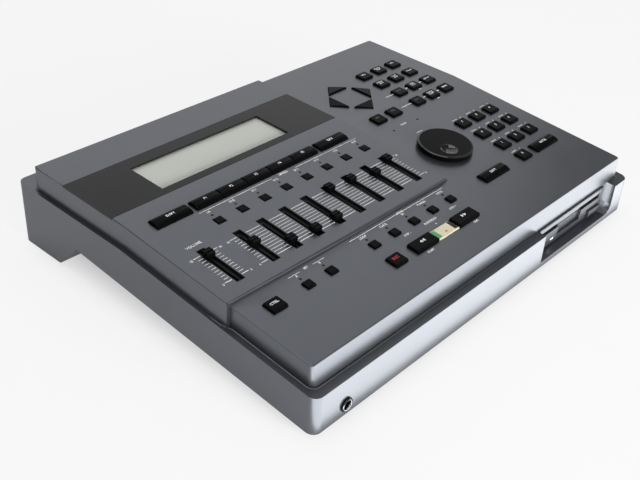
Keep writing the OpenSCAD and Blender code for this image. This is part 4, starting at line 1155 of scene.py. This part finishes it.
class WORKSTATION_OT_drive(Operator):
    """Finish the drive's bezel, door, eject button and lamp"""

    bl_idname = "workstation.drive"
    bl_label = "Disk drive"

    def execute(self, context):
        for node, name in DRIVE_SOLIDS.items():
            dress(node, name, DRIVE_EDGE)
        low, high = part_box("drive_bezel")
        sin, cos = math.sin(DRIVE_TILT), math.cos(DRIVE_TILT)
        foot = Vector(((low.x + high.x) / 2, low.y + DRIVE_HEIGHT * MM * sin, low.z))
        self.trim(frame_at(foot, RIGHT, Vector((0, -sin, cos)), Vector((0, -cos, -sin))))
        return {"FINISHED"}

    def trim(self, face):
        """Thin dark outlines of painted shade in the gaps around the bezel and the button, the pale lamp, and the
        plate on the door.
        """
        piece = Piece("drive_black_and_gap_shade", "drive_lens")
        # The outlines are painted shade in the gaps around the bezel and the eject button
        for wide, tall, inset, thick, corner, x, y in GAP_SHADE_OUTLINES:
            piece.rim(wide, tall, inset, thick, corner, (OUTLINE_FOOT, ink_height()), shifted(face, x, y))
        lens = [inset_ring(*DRIVE_LENS, 0, 0, 0, DRIVE_LENS_CORNER, z) for z in DRIVE_LENS_HEIGHTS]
        piece.loft(lens, shifted(face, *DRIVE_LAMP), 1)
        piece.build("drive_shade_lines_and_lamp", "root", "case")
        plate = Piece("door_plate")
        plate.bar(*DOOR_PLATE, shifted(face, *DOOR_PLATE_AT))
        plate.build("door_plate", "drive_door", "case")


class WORKSTATION_OT_jacks(Operator):
    """Make the phone jacks with turned nuts and dark throats"""

    bl_idname = "workstation.jacks"
    bl_label = "Phone jacks"

    def execute(self, context):
        piece = Piece("nickel", "jack_throat")
        low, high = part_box("lower_case")
        for mount in frame["record"]["mounts"]:
            if mount["kind"] != "bore":
                continue
            out = Vector(mount["axis"])
            mouth = Vector(mount["pos_m"])
            mouth.y = low.y if out.y < 0 else high.y
            place = frame_at(mouth, Vector((-out.y, 0, 0)), Vector((0, 0, 1)), out)
            for profile, slot in ((JACK_COLLAR, 1), (JACK_RING, 0), (JACK_THROAT, 1)):
                piece.lathe(profile, place, slot, close=False)
        piece.build("jack_nuts", "root", "jack", ("phone_jacks",))
        return {"FINISHED"}


class WORKSTATION_OT_lamps(Operator):
    """Make the small lamps behind the keys"""

    bl_idname = "workstation.lamps"
    bl_label = "Lamps"

    def execute(self, context):
        piece = Piece("lamp_lens")
        places = [on_deck(x, PART_S + LAMP_BEHIND) for x in COLUMNS]
        places += [on_deck(x, SMALL_S + LAMP_BEHIND) for x in SMALL_XS]
        places += [deck(x, DIAL_LAMP_S) for x in DIAL_LAMP_XS]
        for place in places:
            piece.lathe(LAMP_PROFILE, place, steps=LAMP_STEPS)
        piece.build("lamp_lenses", "root", "lamp", ("status_lamps",))
        return {"FINISHED"}


class WORKSTATION_OT_legends(Operator):
    """Print the marks, scales and words on the panel"""

    bl_idname = "workstation.legends"
    bl_label = "Panel print"

    def execute(self, context):
        self.piece = Piece("white_ink")
        self.ink = ink_height()
        self.scales()
        self.words()
        self.marks()
        self.piece.build("panel_print", "root", "case")
        return {"FINISHED"}

    def line(self, x0, x1, s, thick):
        """A thin line across the panel."""
        self.piece.bar(x1 - x0, thick, self.ink, on_deck((x0 + x1) / 2, s))

    def word(self, text, x, s, height):
        """A word on the panel."""
        self.piece.lettering(text, height, on_deck(x, s, self.ink / 2), 0)

    def scales(self):
        """Lines from slot to slot, short ticks beside the outer slots, longer at both ends."""
        outer = ((VOLUME_X, -1), (VOLUME_X, 1), (COLUMNS[0], -1), (COLUMNS[-1], 1))
        for k in range(SCALE_LINES):
            s = SCALE_S - k * SCALE_STEP
            thick, length = END_TICK if k in (0, SCALE_LINES - 1) else PLAIN_TICK
            for a, b in zip(COLUMNS, COLUMNS[1:]):
                self.line(a + SCALE_CLEAR, b - SCALE_CLEAR, s, thick)
            for x, side in outer:
                ends = sorted((x + side * SCALE_CLEAR, x + side * (SCALE_CLEAR + length)))
                self.line(*ends, s, thick)
        for x, side in outer:
            for text, away, s, height in SCALE_FIGURES:
                self.word(text, x + side * away, s, height)

    def words(self):
        """Generic words over the key groups, and the lines beside them."""
        for line in PANEL_LINES:
            self.line(*line)
        for word in PANEL_WORDS:
            self.word(*word)
        for i, x in enumerate(COLUMNS):
            self.word(f"{i + 1}/{i + 9}", x, PART_WORD_S, COLUMN_WORD)
        for x, text in zip(SMALL_XS, SMALL_WORDS):
            lines = text.split("\n")
            for k, line in enumerate(reversed(lines)):
                self.word(line, x, SMALL_WORD_S + k * SMALL_WORD_STEP, COLUMN_WORD)

    def marks(self):
        """Short marks about the last mode rows and behind the number keys."""
        for row, lead in MODE_LEADS:
            for x0, x1, behind, thick in (lead, *MODE_MARKS):
                self.line(x0, x1, MODE_S - row * KEY_PITCH + behind, thick)
        keys = [(i, row) for row in range(3) for i in range(3)] + [(0, 3)]
        for i, row in keys:
            for x0, x1, behind, thick in NUMBER_MARKS:
                x = NUMBER_X + i * KEY_PITCH
                self.line(x + x0, x + x1, NUMBER_S - row * KEY_PITCH + behind, thick)


class WORKSTATION_PT_panel(Panel):
    """Buttons for each group of pieces, and the settings they use"""

    bl_idname = "WORKSTATION_PT_panel"
    bl_label = "Workstation"
    bl_space_type = "VIEW_3D"
    bl_region_type = "UI"
    bl_category = "Workstation"

    def draw(self, context):
        for group in (context.scene.workstation_sizes, context.scene.workstation_colours):
            for key in group.__annotations__:
                self.layout.prop(group, key)
        for operator in OPERATORS:
            self.layout.operator(operator.bl_idname)


OPERATORS = (
    WORKSTATION_OT_stage, WORKSTATION_OT_shells, WORKSTATION_OT_plain, WORKSTATION_OT_display,
    WORKSTATION_OT_keys, WORKSTATION_OT_faders, WORKSTATION_OT_dial, WORKSTATION_OT_drive,
    WORKSTATION_OT_jacks, WORKSTATION_OT_lamps, WORKSTATION_OT_legends)
CLASSES = (WorkstationSizes, WorkstationColours, *OPERATORS, WORKSTATION_PT_panel)


def register():
    """Register the classes and the settings."""
    for cls in CLASSES:
        bpy.utils.register_class(cls)
    bpy.types.Scene.workstation_sizes = PointerProperty(type=WorkstationSizes)
    bpy.types.Scene.workstation_colours = PointerProperty(type=WorkstationColours)


def unregister():
    """Remove the settings and the classes."""
    del bpy.types.Scene.workstation_colours
    del bpy.types.Scene.workstation_sizes
    for cls in reversed(CLASSES):
        bpy.utils.unregister_class(cls)


def main():
    """Build everything in order."""
    register()
    bpy.ops.workstation.stage()
    bpy.ops.workstation.shells()
    bpy.ops.workstation.plain()
    bpy.ops.workstation.display()
    bpy.ops.workstation.keys()
    bpy.ops.workstation.faders()
    bpy.ops.workstation.dial()
    bpy.ops.workstation.drive()
    bpy.ops.workstation.jacks()
    bpy.ops.workstation.lamps()
    bpy.ops.workstation.legends()


if __name__ == "__main__":
    main()
